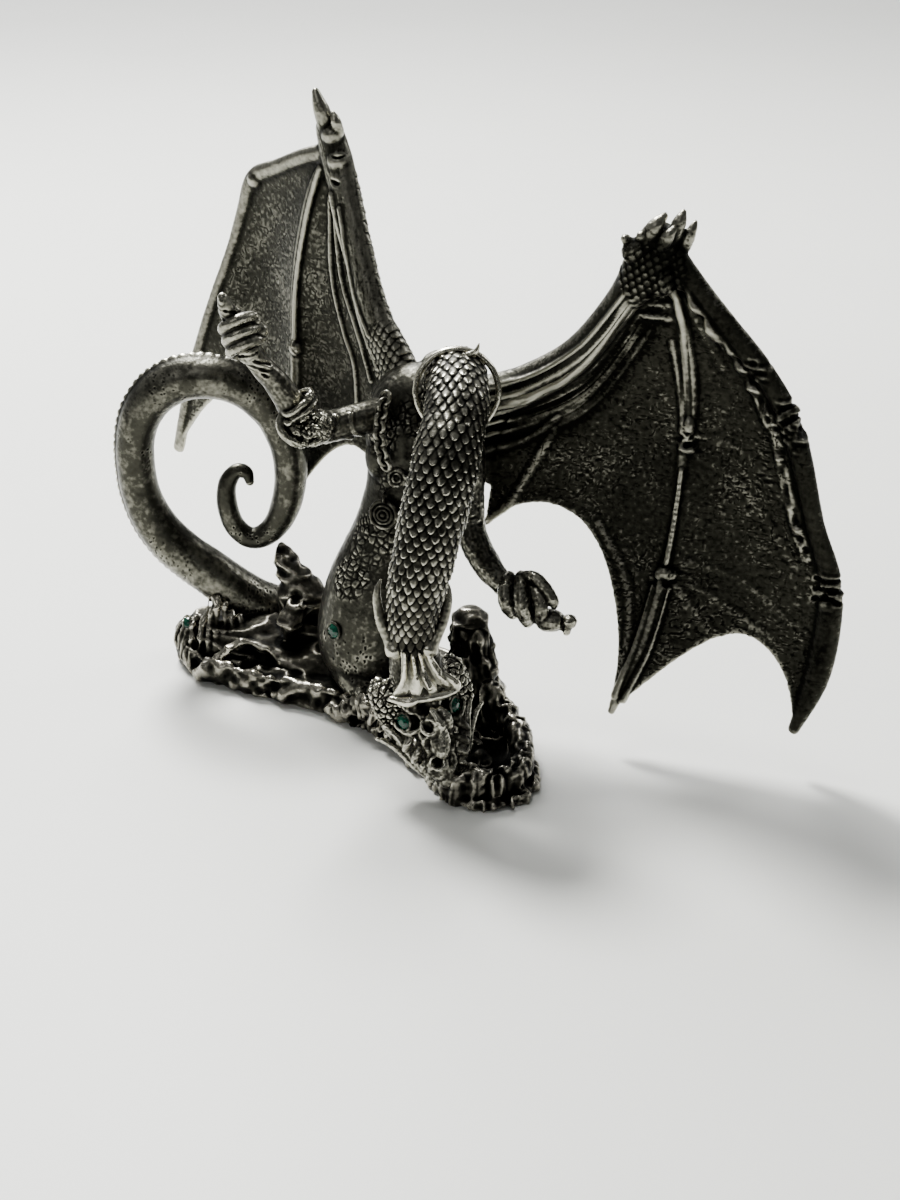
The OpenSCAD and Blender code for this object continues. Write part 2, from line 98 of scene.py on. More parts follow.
def noise(p, size, seed=0):
    """Smooth noise from -1 to 1 with features of that size."""
    q = np.asarray(p, float) / size
    i = np.floor(q).astype(np.int64)
    f = q - i
    f = f * f * (3 - 2 * f)
    total = 0
    for dx in (0, 1):
        for dy in (0, 1):
            for dz in (0, 1):
                w = (np.abs(1 - dx - f[:, 0]) * np.abs(1 - dy - f[:, 1]) * np.abs(1 - dz - f[:, 2]))
                total = total + w * lattice(i[:, 0] + dx, i[:, 1] + dy, i[:, 2] + dz, seed)
    return total * 2 - 1


def fractal(p, size, octaves=3, seed=0):
    """Noise of that size with finer and weaker noise on it, from about -1 to 1."""
    total, weight = 0, 1.0
    for k in range(octaves):
        total = total + weight * noise(p, size / 2 ** k, seed + k)
        weight *= 0.5
    return total / 1.6


def cells(p, size, seed=0):
    """Distances to the nearest and second nearest random cell centre, in cells."""
    q = np.asarray(p, float) / size
    i = np.floor(q).astype(np.int64)
    first = np.full(len(q), 9.0)
    second = np.full(len(q), 9.0)
    for dx in (-1, 0, 1):
        for dy in (-1, 0, 1):
            for dz in (-1, 0, 1):
                c = i + (dx, dy, dz)
                spot = np.stack([c[:, k] + lattice(c[:, 0], c[:, 1], c[:, 2], seed + 7 * k)
                                 for k in range(3)], -1)
                d = np.linalg.norm(q - spot, axis=1)
                second = np.minimum(second, np.maximum(first, d))
                first = np.minimum(first, d)
    return first, second


def step_up(x, low, high):
    """0 below low, 1 above high, smooth between."""
    t = np.clip((x - low) / (high - low), 0, 1)
    return t * t * (3 - 2 * t)


# ---------------------------------------------------------------- clay: closed shapes to fuse

CAP_ANGLES = np.radians([80, 62, 42, 20])     # rings of a tube's rounded end, tip first


def put(name, data):
    """Makes an object of some data and links it to the scene."""
    ob = bpy.data.objects.new(name, data)
    bpy.context.collection.objects.link(ob)
    return ob


def grid_faces(rows, columns, wrap=True):
    """Quads between the points of a grid, whose rows may close into rings."""
    r = np.arange(rows - 1)[:, None]
    c = np.arange(columns if wrap else columns - 1)[None, :]
    d = (c + 1) % columns
    return np.stack([r * columns + c, r * columns + d, (r + 1) * columns + d,
                     (r + 1) * columns + c], -1).reshape(-1, 4)


def tube_rings(route, side, steps, around):
    """Rings of a tube with rounded ends, each ring's place along it, and the angles round it."""
    s = spline(route, steps)
    p = s[:, :3]
    t = unit(np.gradient(p, axis=0))
    v = unit(np.cross(t, np.asarray(side, float)))
    u = np.cross(v, t)
    length = np.concatenate([[0], np.cumsum(np.linalg.norm(np.diff(p, axis=0), axis=1))])
    first = np.zeros(len(CAP_ANGLES), int)
    ring = np.concatenate([first, np.arange(len(s)), first + len(s) - 1])
    sin, cos = np.sin(CAP_ANGLES), np.cos(CAP_ANGLES)
    lift = np.concatenate([-sin, np.zeros(len(s)), sin[::-1]])[:, None]
    shrink = np.concatenate([cos, np.ones(len(s)), cos[::-1]])[:, None]
    centre = p[ring] + t[ring] * s[ring, 3:4] * lift
    radii = s[ring, 3:5] * shrink
    a = np.linspace(0, 2 * math.pi, around, endpoint=False)
    out = (u[ring][:, None] * np.cos(a)[None, :, None] * radii[:, None, :1]
           + v[ring][:, None] * np.sin(a)[None, :, None] * radii[:, None, 1:])
    return centre[:, None] + out, length[ring], a


def capped(rings):
    """Vertices, quads and end triangles of a closed tube made of rings."""
    n, m = rings.shape[:2]
    verts = np.vstack([rings.reshape(-1, 3), rings[0].mean(0), rings[-1].mean(0)])
    k = np.arange(m)
    j = (k + 1) % m
    start = np.stack([np.full(m, n * m), j, k], -1)
    end = np.stack([np.full(m, n * m + 1), (n - 1) * m + k, (n - 1) * m + j], -1)
    return verts, grid_faces(n, m), np.vstack([start, end])


class Clay:
    """Closed shapes, in mm, that are fused into one skin."""

    def __init__(self):
        self.verts, self.quads, self.tris, self.count = [], [], [], 0

    def add(self, verts, quads, tris):
        self.verts.append(np.asarray(verts, float))
        self.quads.append(np.asarray(quads, np.int64).reshape(-1, 4) + self.count)
        self.tris.append(np.asarray(tris, np.int64).reshape(-1, 3) + self.count)
        self.count += len(verts)

    def tube(self, route, side=(0, 1, 0), steps=5, around=20):
        """A round-ended tube; points of four numbers have a round section."""
        route = [tuple(r) + (r[3],) if len(r) == 4 else tuple(r) for r in route]
        self.add(*capped(tube_rings(route, side, steps, around)[0]))

    def ball(self, centre, radii, axis=(0, 0, 1), roll=(1, 0, 0), around=20):
        """An egg with its third radius along axis."""
        radii = (radii,) * 3 if np.isscalar(radii) else radii
        w = unit(axis)
        u = unit(np.cross(np.cross(w, roll), w))
        v = np.cross(w, u)
        lift = np.radians(np.linspace(-82, 82, 11))
        a = np.linspace(0, 2 * math.pi, around, endpoint=False)
        rings = (np.asarray(centre, float)
                 + u * (radii[0] * np.cos(lift)[:, None] * np.cos(a))[..., None]
                 + v * (radii[1] * np.cos(lift)[:, None] * np.sin(a))[..., None]
                 + w * (radii[2] * np.sin(lift)[:, None] * np.ones(around))[..., None])
        self.add(*capped(rings))

    def balls(self, *rows):
        """Eggs from rows of centre, radii and, where it leans, axis."""
        for row in rows:
            self.ball(*row)

    def sheet(self, points, normal, thickness):
        """A slab of one thickness over a grid of points."""
        rows, columns = points.shape[:2]
        flat = points.reshape(-1, 3)
        half = unit(normal) * thickness / 2
        n = len(flat)
        top = grid_faces(rows, columns, wrap=False)
        edge = np.concatenate([np.arange(columns), np.arange(1, rows) * columns + columns - 1,
                               (rows - 1) * columns + np.arange(columns - 2, -1, -1),
                               np.arange(rows - 2, 0, -1) * columns])
        nxt = np.roll(edge, -1)
        rim = np.stack([edge, edge + n, nxt + n, nxt], -1)
        self.add(np.vstack([flat + half, flat - half]),
                 np.vstack([top, top[:, ::-1] + n, rim]), np.zeros((0, 3)))

    def fuse(self, voxel, rounds=2):
        """One closed skin round all the shapes, softened by some rounds of smoothing."""
        rough = bpy.data.meshes.new("clay")
        fill_mesh(rough, np.vstack(self.verts), np.vstack(self.quads), np.vstack(self.tris))
        ob = put("clay", rough)
        mod = ob.modifiers.new("fuse", "REMESH")
        mod.mode = "VOXEL"
        mod.voxel_size = voxel * FINE
        mod.adaptivity = 0
        done = ob.evaluated_get(bpy.context.evaluated_depsgraph_get())
        form = Form.from_mesh(done.to_mesh())
        done.to_mesh_clear()
        bpy.data.objects.remove(ob)
        bpy.data.meshes.remove(rough)
        form.v = form.smoothed(rounds, 0.5)
        return form


def fill_mesh(me, verts, quads, tris):
    """Puts points, quads and triangles into an empty mesh."""
    me.vertices.add(len(verts))
    me.vertices.foreach_set("co", np.asarray(verts, np.float32).ravel())
    loops = np.concatenate([quads.ravel(), tris.ravel()]).astype(np.int32)
    me.loops.add(len(loops))
    me.loops.foreach_set("vertex_index", loops)
    starts = np.concatenate([np.arange(len(quads)) * 4, len(quads) * 4 + np.arange(len(tris)) * 3])
    me.polygons.add(len(starts))
    me.polygons.foreach_set("loop_start", starts.astype(np.int32))
    me.update(calc_edges=True)
    me.validate()


def read(things, field, kind, width=1):
    """One field of all a mesh's points, loops or faces, as an array."""
    out = np.zeros(len(things) * width, kind)
    things.foreach_get(field, out)
    return out


FINE_ROUNDS, BROAD_ROUNDS = 4, 24     # smoothing that relief is measured against
FLATTEN = 0.93                        # how much of a distance a line looks through


class Form:
    """A dense skin that is shaped by moving its points."""

    def __init__(self, verts, quads, tris):
        self.tone = 0.0
        self.v = np.asarray(verts, float)
        self.quads = np.asarray(quads, np.int64).reshape(-1, 4)
        self.tris = np.asarray(tris, np.int64).reshape(-1, 3)
        e = np.vstack([self.quads[:, [k, (k + 1) % 4]] for k in range(4)]
                      + [self.tris[:, [k, (k + 1) % 3]] for k in range(3)])
        e.sort(axis=1)
        self.edges = np.unique(e, axis=0)
        self.degree = np.maximum(np.bincount(self.edges.ravel(), minlength=len(self.v)), 1)[:, None]

    @classmethod
    def from_mesh(cls, me):
        v = read(me.vertices, "co", np.float32, 3)
        size = read(me.polygons, "loop_total", np.int32)
        start = read(me.polygons, "loop_start", np.int32)
        loops = read(me.loops, "vertex_index", np.int32)
        quads = loops[start[size == 4][:, None] + np.arange(4)]
        tris = loops[start[size == 3][:, None] + np.arange(3)]
        return cls(v.reshape(-1, 3), quads, tris)

    def smoothed(self, rounds, share):
        """The points after some rounds of moving a share of the way to their neighbours' mean."""
        a, b = self.edges.T
        v = self.v
        for _ in range(rounds):
            mean = np.stack([np.bincount(a, v[b, k], len(v)) + np.bincount(b, v[a, k], len(v))
                             for k in range(3)], 1) / self.degree
            v = v + share * (mean - v)
        return v

    def normals(self):
        v = self.v
        n = np.zeros_like(v)
        q, t = self.quads, self.tris
        across = ((q, np.cross(v[q[:, 2]] - v[q[:, 0]], v[q[:, 3]] - v[q[:, 1]])),
                  (t, np.cross(v[t[:, 1]] - v[t[:, 0]], v[t[:, 2]] - v[t[:, 0]])))
        for k in range(3):
            for faces, area in across:
                for corner in faces.T:
                    n[:, k] += np.bincount(corner, area[:, k], len(v))
        return unit(n)

    def push(self, amount):
        """Moves each point out along the skin's normal, in mm."""
        self.v = self.v + self.normals() * np.reshape(amount, (-1, 1))

    def near(self, centre, radius):
        """1 at a centre, falling smoothly to 0 at a radius."""
        d = np.linalg.norm(self.v - np.asarray(centre, float), axis=1) / radius
        return np.clip(1 - d * d, 0, 1) ** 2

    def spots(self, *rows):
        """Sum of height times nearness, from rows of height, centre and radius."""
        return sum(height * self.near(centre, radius) for height, centre, radius in rows)

    def near_line(self, points, radius, through=None):
        """1 along a curve through the points, falling to 0 at a radius; distances along the
        direction through, if there is one, count for little."""
        curve = spline(np.asarray(points, float)[:, :3], 6)[:, :3]
        v = self.v
        if through is not None:
            squeeze = np.eye(3) - FLATTEN * np.outer(unit(through), unit(through))
            curve, v = curve @ squeeze, v @ squeeze
        low, high = curve.min(0) - radius, curve.max(0) + radius
        inside = np.flatnonzero(((v > low) & (v < high)).all(1))
        v = v[inside]
        d = np.full(len(v), 1e9)
        for a, b in zip(curve[:-1], curve[1:]):
            run = b - a
            t = np.clip((v - a) @ run / max(run @ run, 1e-9), 0, 1)
            d = np.minimum(d, np.linalg.norm(v - a - t[:, None] * run, axis=1))
        out = np.zeros(len(self.v))
        out[inside] = np.clip(1 - (d / radius) ** 2, 0, 1) ** 2
        return out

    def ridge(self, points, radius, height, through=None):
        """A rounded ridge along a curve, or a groove where its height is below 0."""
        self.push(height * self.near_line(points, radius, through))

    def ridges(self, through, *rows):
        """Ridges one after another, from rows of points, radius and height."""
        for points, radius, height in rows:
            self.ridge(points, radius, height, through)

    def relief(self, rounds):
        """Height of each point over its smoothed surroundings, in mm: pits are negative."""
        return ((self.v - self.smoothed(rounds, 0.6)) * self.normals()).sum(1)

    def piece(self, name, nodes, slot, material, spread):
        """Makes the Blender object, in metres. Its wear grows with relief over spread, in mm, and its tone
        is added on top; on some parts that tone is painted shade and highlight.
        """
        self.v[:, 2] = np.maximum(self.v[:, 2], 0)
        fine = self.relief(FINE_ROUNDS) / (spread * 0.6)
        broad = self.relief(BROAD_ROUNDS) / (spread * 2.2)
        # The tone added here carries the painted shade and highlights that some parts set.
        wear_and_painted_light = np.clip(0.5 + 0.5 * np.tanh(0.8 * fine + 0.8 * broad) + self.tone, 0, 1)
        me = bpy.data.meshes.new(name)
        fill_mesh(me, self.v * MM, self.quads, self.tris)
        me.polygons.foreach_set("use_smooth", np.ones(len(me.polygons), bool))
        wear_and_light_layer = me.attributes.new("wear_and_painted_light", "FLOAT", "POINT")
        wear_and_light_layer.data.foreach_set("value", wear_and_painted_light.astype(np.float32))
        me.materials.append(material)
        ob = put(name, me)
        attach(ob, "root")
        if nodes:
            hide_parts(*nodes)


def swept(route, side, steps, around):
    """A dense tube as a form, each point's place along it and angle round it, and its length."""
    rings, along, angle = tube_rings(route, side, steps, around)
    s = np.concatenate([np.repeat(along, around), [along[0], along[-1]]])
    a = np.concatenate([np.tile(angle, len(along)), [0, 0]])
    return Form(*capped(rings)), s, a, along[-1]


# ---------------------------------------------------------------- finishes


def feed(tree, node, inputs):
    """Sets each input to a plain value, or links it to the socket that feeds it."""
    for name, value in inputs.items():
        if isinstance(value, bpy.types.NodeSocket):
            tree.links.new(value, node.inputs[name])
        else:
            node.inputs[name].default_value = value


def add_node(tree, kind, output, inputs, **settings):
    """A new node's output, after its inputs and settings are given."""
    node = tree.nodes.new("ShaderNode" + kind)
    for name, value in settings.items():
        setattr(node, name, value)
    feed(tree, node, inputs)
    return node.outputs[output]


def cloud(tree, place, scale, detail, roughness=0.5):
    return add_node(tree, "TexNoise", "Fac", {"Vector": place, "Scale": scale, "Detail": detail,
                                              "Roughness": roughness})


def combine(tree, operation, *inputs):
    return add_node(tree, "Math", 0, dict(enumerate(inputs)), operation=operation)


def ramp(tree, value, *stops):
    """The colour at a value, between stops of a position and a colour."""
    node = tree.nodes.new("ShaderNodeValToRGB")
    feed(tree, node, {"Fac": value})
    points = node.color_ramp.elements
    points[0].position = stops[0][0]
    points[1].position = stops[-1][0]
    for position, _ in stops[1:-1]:
        points.new(position)
    for point, (_, colour) in zip(points, stops):
        point.color = (*colour, 1)
    return node.outputs["Color"]


def new_material(name):
    """A material, its node tree, its main shader and the place on the object."""
    mat = bpy.data.materials.new(name)
    mat.use_nodes = True
    tree = mat.node_tree
    return mat, tree, tree.nodes["Principled BSDF"], add_node(tree, "TexCoord", "Object", {})


def pewter(name, dark, mid, bright, rough_low, rough_high, grain=0.35, stain=0.5, dashes=0.0):
    """Antiqued cast pewter: dark in its recesses, rubbed bright where it stands proud."""
    mat, tree, shader, place = new_material(name)
    wear_and_painted_light = add_node(tree, "Attribute", "Fac", {}, attribute_name="wear_and_painted_light")
    blotch = cloud(tree, place, 260.0, 6.0, 0.65)
    speck = cloud(tree, place, 1900.0, 4.0)
    # Wear, with the part's painted shade and highlights added into it, moves with broad stains and fine
    # specks before it picks the colour.
    offset = combine(tree, "SUBTRACT", wear_and_painted_light, stain * 0.5)
    broad = combine(tree, "MULTIPLY_ADD", blotch, stain, offset)
    shift = combine(tree, "SUBTRACT", broad, grain * 0.5)
    fine = combine(tree, "MULTIPLY_ADD", speck, grain, shift)
    rough = add_node(tree, "MapRange", "Result", {"Value": fine, "From Min": 0.15, "From Max": 0.9,
                                                  "To Min": rough_high, "To Max": rough_low})
    # Casting grain and tiny pits in the surface, and fine dashes across the skin of a wing
    pits = add_node(tree, "TexVoronoi", "Distance", {"Vector": place, "Scale": 2600.0})
    stretch = add_node(tree, "Mapping", "Vector", {"Vector": place, "Scale": (1, 1, 1.8)})
    dash = cloud(tree, stretch, 1500.0, 2.0)
    raised = combine(tree, "MULTIPLY_ADD", dash, dashes, combine(tree, "ADD", speck, pits))
    bump = add_node(tree, "Bump", "Normal", {"Height": raised, "Strength": 0.35, "Distance": 0.00006})
    feed(tree, shader, {"Base Color": ramp(tree, fine, (0.12, dark), (0.5, mid), (0.95, bright)),
                        "Roughness": rough, "Normal": bump, "Metallic": 1.0,
                        "Specular IOR Level": 0.5})
    return mat


PEWTER = pewter("pewter", (0.002, 0.002, 0.0016), (0.05, 0.048, 0.038), (0.7, 0.68, 0.57), 0.2, 0.5)
WING_PEWTER = pewter("wing_pewter", (0.003, 0.003, 0.0022), (0.028, 0.0275, 0.021),
                     (0.36, 0.35, 0.29), 0.28, 0.6, dashes=1.6)
SMOOTH_PEWTER = pewter("smooth_pewter", (0.004, 0.0038, 0.003), (0.045, 0.044, 0.035),
                       (0.5, 0.485, 0.4), 0.22, 0.48, grain=0.26)
ROCK_PEWTER = pewter("rock_pewter", (0.0025, 0.0025, 0.002), (0.04, 0.038, 0.03),
                     (0.58, 0.55, 0.46), 0.22, 0.6)
RUBBED_PEWTER = pewter("rubbed_pewter", (0.012, 0.011, 0.009), (0.36, 0.35, 0.285),
                       (0.85, 0.82, 0.69), 0.18, 0.38, grain=0.25)

# ---------------------------------------------------------------- neck

SCALE_WIDE = 0.58        # half width of a scale, in places round the neck
SCALE_LONG = 1.75        # length of a scale, in rows


def scales(s, a, pitch, around):
    """Height from 0 to 1 of staggered scales, so many to a turn of the angle a, in rows a pitch
    apart along s. Their free, pointed ends lie towards smaller s."""
    best = np.zeros(len(s))
    turn = 2 * math.pi / around
    for back in range(3):
        row = np.floor(s / pitch) + back
        y = (row + 0.5) * pitch - s
        y = y / (pitch * SCALE_LONG) + 0.5 - 0.5 / SCALE_LONG
        reach = np.clip(y, 0, 1)
        shift = np.where(row % 2 == 0, 0.0, 0.5)
        col = np.round(a / turn - shift)
        for side in (-1, 0, 1):
            x = a / turn - shift - (col + side)
            place = ((col + side) % around).astype(np.int64)
            grow = 0.92 + 0.16 * lattice(row.astype(np.int64), place, np.zeros(len(s), np.int64), 5)
            wide = SCALE_WIDE * np.sqrt(np.clip(1 - (2 * reach - 0.75) ** 2 / 1.5625, 0, 1)) * grow
            inside = np.clip(1 - (x / np.maximum(wide, 1e-3)) ** 2, 0, 1) * (y > 0) * (y < 1)
            height = (0.28 + 0.72 * reach) * np.sqrt(inside) * grow
            best = np.maximum(best, np.where(inside > 0, height, 0))
    return best


def make_neck():
    steps, around = (66, 216) if FINE == 1 else (30, 110)
    form, s, a, length = swept(NECK, (1, 0, 0), steps, around)
    drift = noise(form.v, 1.5, seed=4)
    height = scales(length - s + 0.14 * drift, a + 0.035 * noise(form.v, 1.5, seed=5), 0.84, 18)
    lumps = fractal(form.v, 2.5, 2, seed=3)
    dents = np.clip(noise(form.v, 0.8, seed=6), -1, 0)
    form.push(0.4 * height * (1 + 0.35 * drift) - 0.12 + 0.1 * lumps + 0.12 * dents)
    # The lower end of the neck, in the hollow where it meets the head and crest, is painted dark as shade;
    # lumps vary the tone, and the whole neck is a little darker.
    form.tone = -0.45 * step_up(-form.v[:, 2], -20, -16.5) + 0.12 * lumps - 0.12
    form.piece("neck_scales", ["neck"], "pewter", PEWTER, spread=0.06)


# ---------------------------------------------------------------- tail


def make_tail():
    steps, around = (44, 120) if FINE == 1 else (20, 60)
    form, s, a, length = swept(TAIL, (0, 1, 0), steps, around)
    share = s / length
    soft = fractal(form.v, 2.2, 3, seed=11)
    # A crest of small teeth runs along the outside of the coil and fades towards the tip.
    away = np.abs((a + np.pi / 2) % (2 * np.pi) - np.pi)
    teeth = 0.5 + 0.5 * np.abs(np.sin(s * np.pi / 0.9))
    fade = step_up(share, 0.02, 0.08) * step_up(1 - share, 0.3, 0.5)
    crest = np.exp(-(away / 0.16) ** 2) * teeth * fade
    near_pits = cells(form.v, 0.55, seed=4)[0]
    pits = step_up(0.35 - near_pits, 0, 0.3) * step_up(fractal(form.v, 3.5, 2, seed=9), 0.0, 0.5)
    form.push(0.08 * soft + 0.42 * crest - 0.12 * pits)
    form.tone = -0.1
    form.piece("tail_coil", ["tail"], "pewter", SMOOTH_PEWTER, spread=0.06)


# ---------------------------------------------------------------- wings

BONE_LEFT = [(12.6, 4, 38.8, 2.4, 2.5), (16, 3, 40, 2.3, 2.6), (20.4, 1.4, 42.2, 2, 2.4),
             (25.6, -1, 46.6, 1.8, 2.1), (29.8, -3.2, 53, 1.7, 2), (32.6, -4.8, 58.6, 1.8, 2.4),
             (34, -5, 61.4, 1.4, 1.9)]
LEAD_LEFT = [(34.4, -5, 60.2, 1.1, 1.5), (37.6, -6.4, 56.2, 1, 1.4), (41.2, -8, 52, 1, 1.4),
             (45.6, -10, 47, 1, 1.3), (49, -12, 41, 1.1, 1.3), (51.8, -14, 31, 0.9, 1.1),
             (54.2, -15.4, 23, 1, 1.4), (53.6, -16.4, 13, 0.9, 1.5), (51.2, -17, 5.4, 0.5, 0.7)]
MID_LEFT = [(33.8, -5, 60, 0.9, 1), (36, -5, 54, 0.75, 0.6), (37.6, -4.7, 45, 0.7, 0.5),
            (37.9, -4.8, 37, 0.8, 0.75), (37.2, -6.4, 29, 0.65, 0.45), (36, -8, 21.4, 0.85, 0.7),
            (33.4, -10.2, 12.5, 0.65, 0.85), (30.1, -12, 5, 0.4, 0.5)]
INNER_LEFT = [(32, -4.6, 56.6, 1, 1), (27, -2, 49, 1, 1), (22, 0.5, 43.6, 1, 1),
              (18.2, 2.4, 38.6, 1, 1), (16.2, 2.6, 31.6, 0.8, 0.8), (15, 2, 23.5, 0.4, 0.4)]
NORMAL_LEFT = (0.45, 0.88, 0.15)
BONE_RIGHT = [(5.2, 4.4, 40.2, 2.4, 2.5), (4, 5.6, 43.6, 2, 2.3), (1.4, 7.8, 49, 1.6, 2),
              (-0.6, 10.6, 57, 1.5, 1.8), (-2.6, 13.4, 65, 1.6, 2.1), (-3.7, 14.2, 69.2, 1.4, 1.7)]
LEAD_RIGHT = [(-3.4, 13.8, 66.4, 1, 1.2), (-6.6, 16.4, 65.4, 0.9, 1), (-10.4, 20.4, 63.2, 0.9, 1),
              (-13.8, 24, 61, 1, 1.2), (-15.6, 25.8, 56.5, 0.9, 1), (-17.4, 27, 51.4, 0.8, 0.9),
              (-21.2, 29, 42, 0.8, 0.9), (-24.6, 31, 32, 0.8, 1), (-27.5, 33, 21.2, 0.6, 0.9)]
MID_RIGHT = [(-3.2, 13.8, 66, 1, 1), (-6, 15.6, 61, 0.8, 0.8), (-8.2, 17, 51, 0.7, 0.8),
             (-8.8, 16.8, 40, 0.8, 0.9), (-9.2, 15.6, 29, 0.7, 0.8), (-10.4, 14.8, 20.2, 0.4, 0.5)]
INNER_RIGHT = [(-2.4, 13, 63.4, 1, 1), (-0.6, 10.8, 56.4, 1, 1), (1.2, 8, 48.6, 1, 1),
               (2.4, 6.8, 42.6, 1, 1), (2, 7, 37, 0.8, 0.8), (0.4, 7.6, 30.4, 0.4, 0.4)]
NORMAL_RIGHT = (0.55, 0.8, 0.2)
SKIN = 0.8               # thickness of a wing's skin before it is fused
WING_VOXEL = 0.15
FLAT_COUNT = 400         # places round a turn, when scales lie on a plane


def add_skin(clay, a, b, normal, billow, cut):
    """The skin between two fingers, with its trailing edge cut back between them."""
    across, down, start = 26, 48, 0.04
    u = np.linspace(0, 1, across + 1)
    reach = 1 - cut * np.sin(np.pi * u) ** 0.7
    v = start + (reach[:, None] - start) * np.linspace(0, 1, down + 1)
    side = u[:, None, None]
    points = at_share(a, v) * (1 - side) + at_share(b, v) * side
    bulge = billow * np.sin(np.pi * u)[:, None] * np.sin(np.radians(120) * v)
    clay.sheet(points + bulge[..., None] * np.asarray(normal), normal, SKIN)


def claw(clay, base, tip, width, lean=(0, -0.5, 0.3)):
    """A blunt hooked claw."""
    base, tip = np.asarray(base, float), np.asarray(tip, float)
    middle = (base + tip) / 2 + np.asarray(lean) * width
    clay.tube([(*base, width), (*middle, width * 0.95), (*tip, width * 0.45)], (0.3, 1, 0.1), 5, 12)


def leather(form, mask, stretch, seed):
    """Fine irregular creases of wing skin, cut into it rather than raised."""
    q = form.v * np.asarray(stretch)
    q = q + 0.55 * np.stack([noise(form.v, 1.2, seed + 6), noise(form.v, 1.2, seed + 7),
                             noise(form.v, 1.2, seed + 8)], 1)
    creases = np.abs(noise(q, 0.85, seed)) + 0.7 * np.abs(noise(q, 0.45, seed + 1))
    strength = 0.7 + 0.7 * noise(form.v, 5.5, seed=seed + 2)
    soft = fractal(form.v, 5, 2, seed=seed + 5)
    form.push(mask * (0.06 * soft + 0.15 * strength * (np.clip(creases, 0, 0.5) - 0.35)
                      + 0.035 * noise(form.v, 0.5, seed + 3)))


def plane_scales(u, v, pitch):
    """Scale relief over flat coordinates u across and v along, in mm."""
    return scales(v + 200, u / pitch * (2 * math.pi / FLAT_COUNT) + 1, pitch * 0.75, FLAT_COUNT)


